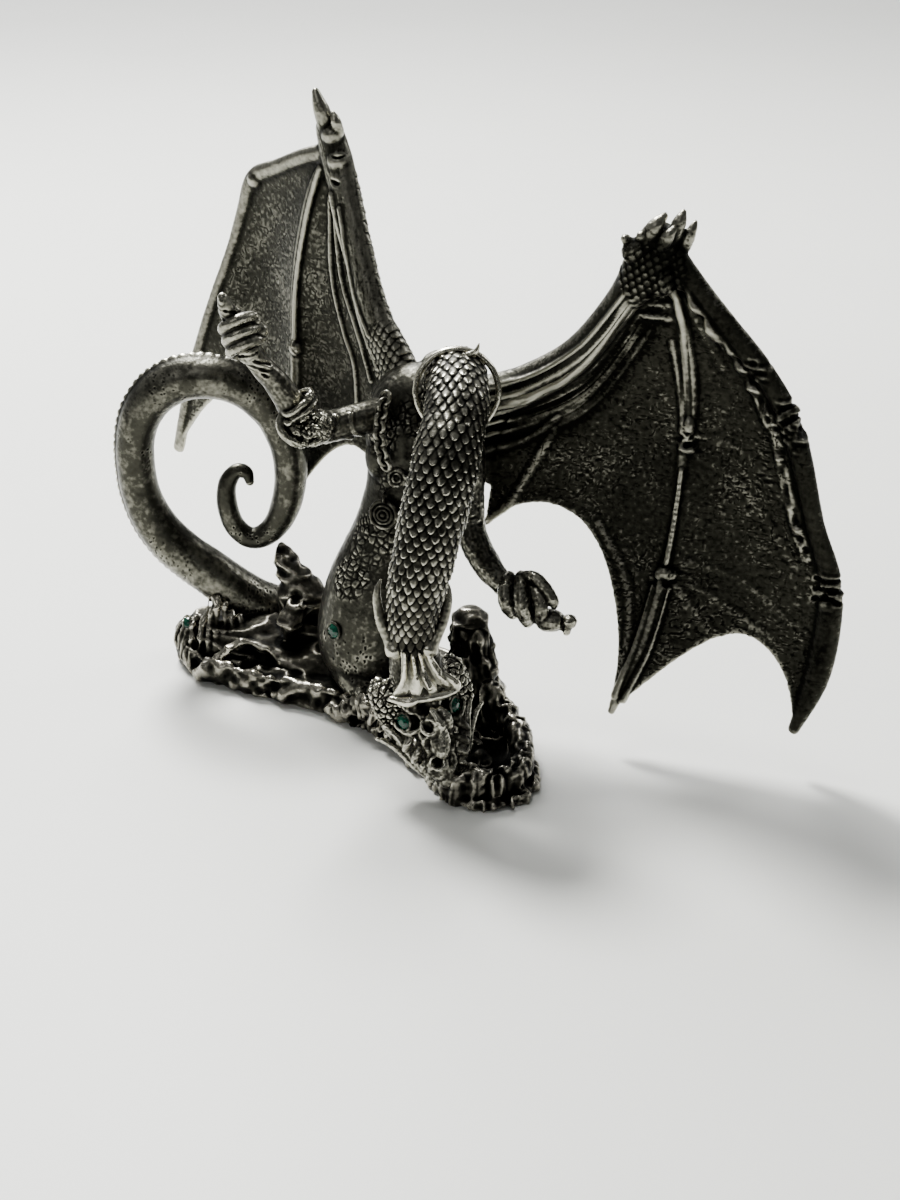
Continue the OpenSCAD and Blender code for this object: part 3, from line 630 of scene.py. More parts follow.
def make_wing_left():
    clay = Clay()
    n = NORMAL_LEFT
    add_skin(clay, MID_LEFT, LEAD_LEFT, n, 1.5, 0.17)
    add_skin(clay, INNER_LEFT, MID_LEFT, n, 1.2, 0.24)
    clay.tube(BONE_LEFT, n, 6, 24)
    clay.tube(LEAD_LEFT, n, 6, 18)
    clay.tube(MID_LEFT, n, 6, 16)
    # Skin from the shoulder to the flank, and the knuckles of the middle finger
    flank = [(11, 4, 41, 1, 1), (10.6, 4, 36, 1, 1), (10.4, 3.6, 30, 1, 1)]
    root = [(19.8, 2.9, 40.4, 1, 1), (18.6, 3.1, 36, 1, 1), (15.8, 2.6, 28.8, 1, 1)]
    web = np.linspace(0, 1, 9)[:, None, None]
    down = np.linspace(0, 1, 20)
    clay.sheet(at_share(flank, down)[None] * (1 - web) + at_share(root, down)[None] * web, n, 1.3)
    clay.balls(((37.9, -5.2, 39), (0.85, 0.8, 1.5)), ((38.1, -5.5, 36.5), (1.15, 0.7, 0.55)),
               ((36.2, -8.5, 21.8), (1.4, 0.9, 0.9)), ((33.9, -5.6, 56.6), (1.2, 1, 2)))
    for base, tip, width in (((35, -5.6, 61.4), (35.9, -6, 64.2), 0.85),
                             ((31.9, -5.6, 61), (33.9, -5.9, 63.8), 0.95),
                             ((36.3, -5.4, 60.2), (37.3, -5.6, 63), 0.7),
                             ((33.6, -6.4, 60.6), (34.9, -6.8, 62.6), 0.8)):
        claw(clay, base, tip, width)
    clay.balls(((30.6, -5.8, 60), (1.2, 1.1, 1.4), (0.4, 0, 1)), ((29.8, -5.8, 61.2), 0.6),
               ((31.4, -6.2, 61.6), 0.6))
    form = clay.fuse(voxel=WING_VOXEL, rounds=6)
    along_bone = form.near_line(BONE_LEFT, 3.4)
    fingers = np.maximum(form.near_line(LEAD_LEFT, 2.2), form.near_line(MID_LEFT, 1.7))
    # Tendons and curtain folds fan out from the shoulder and the wrist.
    form.ridges(
        n,
        ([(14, 2.4, 32.6), (19, 1, 34.6), (23, -0.4, 38)], 0.6, 0.3),
        ([(22.6, -0.4, 36.4), (20, 0.4, 31), (18, 1, 27), (15.2, 1.6, 24)], 0.8, 0.26),
        ([(34.8, -5.6, 57.6), (38.8, -7.2, 52.8), (42.8, -9.2, 47.4), (45.6, -11, 41)], 0.8, 0.3),
        ([(35, -5.6, 56), (37.8, -6.4, 52), (40.6, -7.8, 46.6)], 0.9, 0.16),
        ([(34.6, -5.4, 57), (36.7, -5.4, 52), (38.2, -5.3, 45), (38.6, -5.2, 39)], 0.7, 0.3),
        ([(35.4, -5.2, 49), (36.6, -5.1, 44), (37.2, -5.2, 40)], 0.6, 0.2),
        ([(37.4, -6.2, 34), (36.8, -7.4, 28), (36, -8.6, 23)], 0.4, 0.3),
        ([(36.6, -8.6, 20), (34.6, -10.4, 13), (31.2, -12.4, 6.4)], 0.5, 0.42),
        ([(34.8, -8.2, 20), (32.8, -10, 13), (30.4, -11.8, 7)], 0.5, 0.3),
        ([(30, -12.2, 6), (31.6, -10, 13), (31, -8.2, 19.6), (27.6, -5, 25.6)], 0.8, 0.18),
        ([(37.6, -8.6, 20.4), (41, -10.6, 16), (45, -13, 14)], 0.8, 0.08),
        ([(38, -8.4, 21.6), (43, -11, 18.6), (48, -14, 15.6)], 0.8, 0.08),
        ([(38.4, -8, 23.4), (44, -11, 22), (50, -14.4, 18)], 0.8, 0.07),
        ([(38.6, -6, 36), (44, -9, 33), (50, -13.6, 25)], 0.8, 0.07),
        ([(38.8, -6, 38), (44, -9, 37), (49, -12.6, 32)], 0.8, 0.06))
    # Folds of skin fan along the whole bone, from the shoulder to the wrist.
    upper = np.array([(12.8, 2.8, 41), (20, 0.6, 43.2), (26, -2.2, 48), (30.6, -4.8, 55)])
    lower = np.array([(12.6, 3, 32.6), (20.4, 0.8, 35.6), (26.8, -1.8, 40), (32.4, -4.8, 50)])
    uneven = 0.75 + 0.6 * noise(form.v, 3.2, seed=23)
    for k in range(13):
        share = k / 12
        line = upper * (1 - share) + lower * share
        line[1:3, 2] += 0.5 * math.sin(k * 2.3)
        height = 0.5 - 0.25 * share if k % 2 == 0 else -0.55
        form.push(height * uneven * form.near_line(line, 0.75, n))
    # Nested folds hang under the wrist, and creases crumple the joints of the fingers.
    pucker = form.near((33.6, -4.8, 51.6), 4.6) * np.clip(1 - 1.4 * along_bone, 0, 1)
    form.push(0.3 * pucker * noise(form.v * (0.5, 0.5, 1.4), 1.1, seed=28))
    edge = [(36.4, -6, 55.6), (40.2, -8.2, 50.4), (43.8, -10.2, 45.4), (46.4, -12, 40),
            (48.4, -13.4, 33), (50.8, -14.8, 26.4)]
    form.push(form.near_line(edge, 1, n) * (0.24 + 0.7 * noise(form.v, 1.1, seed=25)))
    rough = noise(form.v * (0.8, 0.8, 1.6), 0.8, seed=26) + 0.5 * noise(form.v, 0.5, seed=27)
    for joint, size in (((48.6, -12.4, 42), 4.2), ((53.8, -15.6, 23), 3), ((36.2, -8.6, 21.6), 1.9),
                        ((37.9, -5.4, 37.6), 1.9), ((44.4, -10, 47.6), 2.4)):
        form.push(0.45 * form.near(joint, size) * rough)
    for k in range(3):
        form.ridges(
            n,
            ([(52.2, -15.2, 21.6 + 1.3 * k), (53.6, -16, 22.4 + 1.1 * k), (55.4, -16, 22 + 1.3 * k)],
             0.4, -0.3),
            ([(47.2, -12.4, 40.4 + 1.7 * k), (49, -12.8, 41.6 + 1.5 * k), (50.6, -12.6, 41 + 1.6 * k)],
             0.45, -0.3))
    # Scales cover the wrist, and creased skin hangs everywhere off the bone.
    up = unit((0.35, 0, 0.94))
    u, v = form.v @ unit(np.cross(n, up)), form.v @ up
    wrist = form.near((32.6, -5.6, 57.6), 5.4) * step_up(62.4 - form.v[:, 2], 0, 1.6)
    form.push(step_up(wrist, 0.12, 0.4) * (0.34 * plane_scales(u, -v, 0.95) - 0.1))
    skin = np.clip(1 - along_bone * 1.6 - fingers * 1.1 - wrist, 0, 1)
    leather(form, skin, (1, 1, 1.9), 31)
    form.push(0.05 * fractal(form.v, 0.7, 2, seed=8) * fingers)
    # The top of the bone gets a painted highlight and the skin under it painted shade; the leading finger
    # and the wrist are darker, the crumpled edge lighter, and the skin a little darker.
    form.tone = (0.16 * form.near_line(edge, 1.1, n) - 0.3 * form.near_line(LEAD_LEFT, 2.6, n)
                 - 0.25 * step_up(wrist, 0, 0.3) + 0.22 * form.near_line(upper - (0, 0, 2), 2.4, n)
                 - 0.3 * form.near_line(lower, 2.4, n) - 0.04 - 0.08 * skin)
    form.piece("wing_left_skin", ["wing_left"], "pewter", WING_PEWTER, spread=0.06)


def make_wing_right():
    clay = Clay()
    n = NORMAL_RIGHT
    add_skin(clay, LEAD_RIGHT, MID_RIGHT, n, 1.2, 0.17)
    add_skin(clay, MID_RIGHT, INNER_RIGHT, n, 0.8, 0.12)
    clay.tube(BONE_RIGHT, n, 6, 24)
    clay.tube(LEAD_RIGHT, n, 6, 16)
    clay.tube(MID_RIGHT, n, 6, 16)
    clay.balls(((-3.2, 13, 68.6), 1.3), ((-2.5, 12.8, 65.6), 1.5), ((-1.9, 12.2, 62.8), 1.1),
               ((-8.8, 16.4, 41.4), 1), ((-13.6, 23.6, 61), 1.15))
    claw(clay, (-3.8, 13.6, 69.4), (-5, 13.4, 73.4), 1.05, (0, -0.2, 0))
    claw(clay, (-2.4, 12.6, 69), (-3, 12.4, 71.2), 0.7)
    form = clay.fuse(voxel=WING_VOXEL, rounds=6)
    along_bone = form.near_line(BONE_RIGHT, 3)
    fingers = np.maximum(form.near_line(LEAD_RIGHT, 1.9), form.near_line(MID_RIGHT, 1.6))
    # Tendons fan down from the wrist, and two grooves cross it.
    form.ridges(
        n,
        ([(-3, 12.4, 62), (-1.6, 10.6, 54), (0, 8.6, 48), (2.4, 6, 42.6)], 0.6, 0.45),
        ([(-3.4, 13, 61), (-2.8, 11.6, 52), (-1, 9.4, 46), (0.8, 7.6, 40)], 0.5, 0.36),
        ([(-3.8, 13.4, 61), (-4, 12.8, 52), (-3, 10.8, 45), (-1.6, 9.6, 41), (-1.4, 8.8, 35)], 0.5, 0.34),
        ([(-2, 11.4, 60.6), (-0.4, 9.6, 52), (1.6, 7, 46.6)], 0.5, 0.3),
        ([(-4.4, 14.6, 64.6), (-6.6, 15.4, 58.6), (-8.4, 16.4, 50), (-9, 16.3, 42)], 0.5, 0.3))
    for z in (66.9, 63.8):
        form.ridge([(-4.4, 12, z), (-2.6, 11.4, z - 0.6), (-0.8, 12, z)], 0.4, -0.4)
    # Scales cover the shoulder and the rim, and long folds run down the bone.
    spine = unit((0.16, -0.3, -0.94))
    across = unit(np.cross(n, spine))
    root = form.near((4.4, 4, 43.6), 7.5)
    rim = form.near_line([(0.4, 12.6, 66), (1, 10.4, 57), (3, 7.6, 49)], 1.6)
    u, v = form.v @ across, form.v @ spine
    form.push(step_up(np.maximum(root, rim), 0.15, 0.5) * (0.3 * plane_scales(u, -v, 0.95) - 0.1))
    stretch = np.stack([across * 1.6, spine * 0.35, np.asarray(n) * 0.6], 1)
    folds = fractal(form.v @ stretch, 0.8, 3, seed=41)
    form.push(0.14 * along_bone * (1 - root) * folds)
    skin = np.clip(1 - along_bone * 1.3 - fingers, 0, 1)
    leather(form, skin * 0.6, (1, 1, 1.3), 51)
    form.push(0.05 * fractal(form.v, 0.7, 2, seed=9) * fingers)
    form.piece("wing_right_skin", ["wing_right"], "pewter", WING_PEWTER, spread=0.06)


# ---------------------------------------------------------------- body


def make_body():
    clay = Clay()
    clay.tube(TORSO, (1, 0, 0), 6, 36)
    # Haunches, folded legs and feet
    clay.ball((-1.6, 1.6, 9.4), (4.6, 5.6, 6.6), (0, -0.2, 1))
    clay.ball((5.2, 2.2, 9.4), (4.2, 5.4, 6.4), (0, -0.2, 1))
    clay.tube([(6.6, 0, 5.4, 2.6), (6.4, -3.4, 4.6, 2.1), (6, -6, 4.2, 1.6), (5.6, -7.6, 4, 1.2)],
              (0, 0, 1), 4, 16)
    clay.tube([(-2.4, 0, 5.4, 2.8), (-1, -4, 4.6, 2.2), (0.6, -6.2, 4.2, 1.5)], (0, 0, 1), 4, 16)
    for x, y in ((-0.4, -7.2), (0.9, -7.6), (2.1, -7.3), (4.8, -8.8), (5.9, -9), (6.9, -8.6)):
        clay.tube([(x, y + 1.6, 4.6, 0.75), (x - 0.1, y + 0.4, 4.8, 0.8), (x - 0.1, y - 0.6, 4, 0.5)],
                  (0, 0, 1), 4, 10)
    # Shoulders, chest and the root of the neck
    clay.balls(((3.4, 1, 38.2), (2.8, 2.8, 3), (1, 0, 0.2)), ((11.6, 1.6, 37.4), (2.6, 2.8, 3)),
               ((6.2, -1.4, 35.6), (4, 2.8, 5)), ((9.6, 3, 40.4), (3.6, 3.4, 3)),
               ((13.2, 3.6, 38.8), (3, 2.4, 2.6)), ((5, 4.6, 40.4), (3, 2.6, 2.8)),
               ((2, -0.6, 33.4), (1.6, 2, 2.6)))
    form = clay.fuse(voxel=0.16, rounds=8)
    v = form.v
    front = step_up(-v[:, 1], -1.5, 1.5)
    # Broad soft modelling, then rough patches, and the pits and the seam of dots on the hip
    form.push(0.16 * fractal(v, 4, 3, seed=61))
    patch = 0.9 * form.near((10, 7, 30), 12)
    for place, radius in (((0.6, -4, 24), 5.4), ((-2, -4, 19), 4.2), ((1.2, -4.6, 31), 4),
                          ((1.6, -3, 37.6), 4.6), ((8.4, -3.4, 40), 5.4), ((0.4, 3, 38), 5)):
        patch = np.maximum(patch, form.near(place, radius))
    first, second = cells(form.v, 0.85, seed=63)
    knobs = step_up(second - first, 0, 0.34)
    form.push(step_up(patch, 0.1, 0.5) * (0.15 + 0.16 * noise(v, 1.6, seed=64)) * (knobs - 0.6))
    low = form.near((-2.6, -5, 8), 6.4) * front
    spots = cells(form.v * (1, 1, 0.7), 0.62, seed=65)[0]
    pits = step_up(0.34 - spots, 0, 0.2) * step_up(fractal(form.v, 2, 2, seed=66), -0.5, 0.1)
    form.push(-0.2 * pits * step_up(low, 0.05, 0.35))
    seam = [(-0.6, -5.6, 20.4), (-2.4, -5.2, 17.6), (-3.6, -4.8, 14.8), (-4, -4.6, 13)]
    for p in spline(seam, 5)[:, :3]:
        form.push(-0.28 * form.near(p, 0.42))
    # A smooth teardrop on the thigh, outlined by a soft groove
    drop = [(0.6, -6.6, 18), (-1.6, -6.2, 16), (-2.4, -6.3, 13), (-1.4, -6.8, 11.4), (0.4, -7, 12)]
    form.ridge(drop, 0.6, -0.12)
    # Back: a row of spine plates, and the shoulder folds round the wing roots
    for t in np.linspace(0, 1, 16):
        z = 10 + 30 * t
        y = 8.6 - 2.6 * math.sin(math.pi * t * 0.9) + 0.2 * t
        x = 2.4 + 4.4 * t
        form.ridge([(x, y - 0.2, z - 0.5), (x, y + 0.1, z + 0.2), (x + 0.1, y, z + 0.9)], 0.8, 0.5)
    for points in ([(-0.6, -1, 35.6), (0.6, -2.6, 36.6), (2.4, -3.4, 36.2)],
                   [(-0.2, -1.4, 33.6), (1, -3, 34), (2.8, -3.8, 33.6)],
                   [(10.6, -2.6, 38), (8.6, -4, 39.4), (6, -3.6, 41.6)],
                   [(10.6, -2.4, 36.6), (8.4, -4.2, 37.4), (5.4, -4.2, 39.4)]):
        form.ridge(points, 0.55, 0.22)
    form.push(0.035 * fractal(form.v, 0.7, 2, seed=68))
    # The front of the upper chest, under the arch of the neck and away from the light, is painted darker as
    # shade; the whole torso is a little darker.
    form.tone = -0.08 - 0.22 * step_up(form.v[:, 2], 22, 27) * step_up(-form.v[:, 1], 0, 2)
    form.piece("torso_skin", ["body"], "pewter", SMOOTH_PEWTER, spread=0.07)


# ---------------------------------------------------------------- head

# The head's own frame: across to the dragon's left, out of the forehead, and down the snout.
HEAD_PLACE = np.array([8, -19.8, 10])
HEAD_ACROSS = unit((0.931, 0.31, 0.19))
HEAD_DOWN = unit((0.302, -0.366, -0.88))
HEAD_OUT = unit(np.cross(HEAD_DOWN, HEAD_ACROSS))


def on_head(*p):
    return HEAD_PLACE + p[0] * HEAD_ACROSS + p[1] * HEAD_OUT + p[2] * HEAD_DOWN


def head_route(points, flip=1):
    return [(*on_head(flip * q[0], q[1], q[2]), *q[3:]) for q in points]


def ring_route(centre, axis, radius, wire, turns=14, squash=1.0):
    """A closed loop round an axis, as a tube route."""
    w = unit(axis)
    u = unit(np.cross(w, (0.2, 0.1, 1)))
    v = np.cross(w, u)
    c = np.asarray(centre, float)
    return [(*(c + radius * math.cos(t) * u + radius * squash * math.sin(t) * v), wire)
            for t in np.linspace(0, 2 * math.pi, turns + 1)]


def make_head():
    clay = Clay()
    out = HEAD_OUT

    def strand(points, flip=1, steps=4, around=12):
        clay.tube(head_route(points, flip), out, steps, around)

    def lump(place, radii):
        clay.ball(on_head(*place), radii, HEAD_DOWN, HEAD_ACROSS)

    skull = [(0.25, 1.5, -7.8, 2.6, 2.4), (0.2, 0.65, -5.3, 3.2, 2.7), (0.1, 0.1, -2.6, 3.6, 3),
             (0, 0.1, 0, 3.3, 2.7), (-0.15, 0.4, 2.6, 2.4, 2.1), (-0.3, 0.8, 5, 1.9, 1.7),
             (-0.5, 1, 7.2, 1.7, 1.5), (-0.5, 1.1, 8.2, 1.2, 1.1)]
    clay.tube(head_route(skull), HEAD_ACROSS, 5, 26)
    # Snout: a knuckled hump, its bright ridge, and the bulb round the nostrils
    lump((0.35, 2.1, 1.5), (1.8, 1.65, 1.9))
    lump((-0.25, 2, 4.1), (1.3, 1.45, 1.8))
    lump((-0.6, 1.4, 6.4), (1.85, 1.35, 1.9))
    for points in ([(0, 3, 0, 0.4), (0.25, 3.45, 1.3, 0.5), (0.4, 3.3, 2.5, 0.5), (0.2, 3, 3.6, 0.8),
                    (-0.3, 2.8, 4.9, 0.9)],
                   [(0.95, 3, 0.2, 0.4), (1.35, 3.3, 1.2, 0.5), (1.35, 3, 2.4, 0.4)],
                   [(-1.5, 2.5, 0.9, 0.26), (-1.65, 2.5, 1.8, 0.36), (-1.1, 2.8, 2.5, 0.42),
                    (-0.4, 3, 2.4, 0.36)],
                   [(-2, 1.9, 5.9, 0.2), (-1.4, 2.4, 5.2, 0.28), (-0.6, 2.5, 5.6, 0.26),
                    (-0.5, 2.3, 6.4, 0.2)]):
        strand(points)
    for flip in (-1, 1):
        # Lids of an almond eye, then the second brow fold and the corner of the eye
        strand([(3.9, 0.5, -1.7, 0.3), (3.1, 1.35, -1.75, 0.42), (2.35, 1.9, -0.7, 0.4),
                (1.5, 1.8, 1.1, 0.3)], flip, 5)
        strand([(4, 0.4, -1.5, 0.3), (4.3, 0.3, 0.1, 0.32), (3.6, 0.75, 1.5, 0.34),
                (2.6, 1.3, 1.9, 0.34), (1.5, 1.75, 1.3, 0.26)], flip, 5)
        strand([(3.9, 0.6, -2.7, 0.4), (2.9, 1.5, -2.7, 0.5), (1.9, 2.3, -1.6, 0.45)], flip)
        lump((flip * 3.7, -0.5, -1.9), (1.9, 1.3, 2.9))
        lump((flip * 4.2, -0.6, -0.6), (1.3, 1, 1.8))
        # Overlapping lobes of the upper lip
        lean = HEAD_DOWN * 0.75 + flip * 0.65 * HEAD_ACROSS - 0.25 * out
        shift = -0.25 if flip < 0 else -0.15
        for a, b, c, size in ((3.25, 0.75, 2.9, 1), (2.75, 0.95, 4.5, 0.95), (2.3, 1, 5.9, 0.8),
                              (1.95, 0.95, 7.1, 0.7), (1.3, 0.9, 8.2, 0.6)):
            clay.ball(on_head(flip * a + shift, b, c), (0.55 * size, 0.6 * size, 1.25 * size),
                      lean, HEAD_DOWN, 16)
        # Rim of the cheek and jaw, then the lower jaw with its frilled edge
        strand([(5.3, -0.9, -4.2, 0.3), (5.6, -0.6, -2, 0.34), (5.3, -0.2, 0.2, 0.36),
                (4.4, 0.1, 1.9, 0.34), (3.7, 0.4, 4.2, 0.3), (2.9, 0.6, 6.1, 0.28)], flip, 5)
        lump((flip * 4.5, -1, -1.9), (1.3, 0.9, 2.9))
        strand([(4.6, -1.4, 0.6, 1, 0.9), (3.6, -1.2, 3.4, 0.9, 0.9), (2.5, -0.6, 6.2, 0.8, 0.8),
                (1.2, 0, 8.6, 0.7, 0.7)], flip, around=14)
        strand([(6.6, -1.1, 1.5, 0.22), (5.5, -1, 2.4, 0.34), (4.6, -0.95, 3.7, 0.36),
                (3.6, -0.8, 5.7, 0.34), (2.3, -0.4, 7.8, 0.3)], flip)
        lump((flip * 4.3, -1.5, -2.6), (1.6, 1.2, 2.6))
    form = clay.fuse(voxel=0.1, rounds=5)
    v = form.v - HEAD_PLACE
    local = np.stack([v @ HEAD_ACROSS, v @ out, v @ HEAD_DOWN], 1)

    def spots(*rows):
        """Sum of height times nearness, from rows of height, place on the head and radius."""
        return form.spots(*((height, on_head(*place), radius) for height, place, radius in rows))

    # Eye sockets, the ring-shaped pit, the nostrils, and hollows beside the snout and over the brow
    for flip in (-1, 1):
        form.push(spots((-1.1, (flip * 2.3, 1.6, 0.6), 1.15), (-0.5, (flip * 3.2, 0.9, 0.2), 1.3)))
    form.push(spots((-0.6, (-0.85, 3, 1.6), 0.9), (-1.3, (-1.25, 2.5, 6), 0.85), (-0.7, (0.6, 2.3, 6.4), 1),
                    (-0.5, (-1.85, 2, 2.5), 0.6), (-0.5, (-1.6, 1.9, 7.1), 0.9),
                    (-0.5, (1.3, 1.9, 7.4), 0.6)))
    form.push(spots((-0.9, (-0.9, 2.3, -0.5), 1.1), (-0.8, (1.7, 2.1, -0.3), 0.9)))
    form.push(spots((-0.5, (-1.3, 1.9, 3.6), 0.9), (-0.5, (1.2, 1.9, 4.2), 0.9)))
    # Wrinkled cheeks, fine creases everywhere else, and casting grain
    cheek = step_up(np.abs(local[:, 0]), 2.6, 3.6) * step_up(-local[:, 2], -1.2, 0.4)
    first, second = cells(form.v, 0.8, seed=71)
    form.push(cheek * (0.26 * step_up(second - first, 0, 0.4) - 0.13))
    creases = fractal(local * (0.7, 1, 1.6), 0.8, 3, seed=72)
    form.push(0.045 * creases * (1 - cheek))
    form.push(0.04 * noise(form.v, 0.3, seed=73))
    # Painted shade round the eyes, in the hollows over the brow and beside the snout, and under the crest;
    # a painted highlight along the snout
    snout = head_route([(0.3, 3.4, 0.4), (0.3, 3.4, 2.6), (-0.4, 3, 5)])
    form.tone = 0.22 * form.near_line(snout, 1) + spots(
        (-0.4, (-2.3, 1.4, 0.4), 2), (-0.5, (2.6, 1.2, 0.4), 2.4), (-0.4, (-0.6, 2.2, -0.8), 1.5),
        (-0.5, (0, 2, -4.5), 3.6), (-0.3, (2.6, 1.4, 3.6), 2.4))
    form.piece("head_skin", ["head"], "pewter", PEWTER, spread=0.08)


def make_crest():
    left = [(-1.3, 3.3, -7.5), (-1.8, 2.75, -5.8), (-2.5, 2.3, -4.3), (-3.9, 1.6, -2.7)]
    right = [(1.5, 3.3, -7.1), (1.9, 2.8, -5.2), (2.7, 2.4, -3.3), (3.8, 1.8, -1.8)]
    u = np.linspace(0, 1, 33)[:, None]
    v = np.linspace(0, 1, 30)[None, :]
    one, two = at_share(left, v[0]), at_share(right, v[0])
    side = u[..., None]
    points = one[None] * (1 - side) + two[None] * side
    arch = 4 * u * (1 - u)
    points[..., 1] += arch * (1.25 * v - 0.1) * 0.85
    points[..., 2] += arch * (0.95 * v + 0.35 * (1 - v))
    # Pleats fan out from the brow to the raised rear edge.
    pleats = np.cos(2 * math.pi * (3.5 * u - 0.12)) * (0.3 + 0.1 * np.sin(5 * v + 4 * u))
    points[..., 1] += pleats * np.clip(1.25 - v ** 3, 0, 1)
    points[..., 1] += 0.5 * np.abs(2 * u - 1) ** 6 * (1 - v) - 0.9 * v ** 5
    world = HEAD_PLACE + points @ np.stack([HEAD_ACROSS, HEAD_OUT, HEAD_DOWN])
    clay = Clay()
    clay.sheet(world, HEAD_OUT, 1)
    for route in (((0.1, 3, -5.6, 0.2), (0.25, 3.3, -4, 0.34), (0.4, 3.4, -2.6, 0.3)),
                  ((1.5, 3.5, -7.3, 0.16), (1.7, 3.2, -5.6, 0.24), (2.2, 3, -4, 0.26)),
                  ((-1.35, 3.5, -7.7, 0.16), (-1.6, 3.1, -6, 0.24), (-2.1, 2.8, -4.6, 0.24)),
                  ((2.6, 2.6, -3.4, 0.4), (3.6, 2.1, -2, 0.62), (3.5, 1.9, -1.2, 0.46)),
                  ((-3.9, 1.7, -2.6, 0.4), (-2.9, 2.3, -2, 0.56), (-2, 2.6, -1.7, 0.7),
                   (-1.2, 2.6, -1.7, 0.5)),
                  ((-1.4, 2.6, -1.6, 0.45), (0.4, 2.75, -1.4, 0.55), (2, 2.6, -1.2, 0.55),
                   (3.3, 2.1, -1.2, 0.4))):
        clay.tube(head_route(route), HEAD_OUT, 5, 10)
    form = clay.fuse(voxel=0.09, rounds=4)
    form.push(0.07 * fractal(form.v, 1.1, 3, seed=75))
    form.tone = 0.12
    form.piece("brow_fan", ["brow_crest"], "rubbed_pewter", RUBBED_PEWTER, spread=0.06)


def make_horn(name, node, route, seed):
    form, s, a, length = swept(route, (0, 1, 0), 18, 40)
    rings = np.sin(s * 2 * math.pi / 0.75 + 0.6 * np.sin(a)) * step_up(1 - s / length, 0.2, 0.6)
    form.push(0.012 * rings + 0.03 * fractal(form.v, 0.7, 2, seed=seed))
    form.tone = 0.25 * noise(form.v, 1.6, seed=seed) - 0.2
    form.piece(name, [node], "rubbed_pewter", RUBBED_PEWTER, spread=0.07)


# ---------------------------------------------------------------- arms

ARM_VOXEL = 0.11


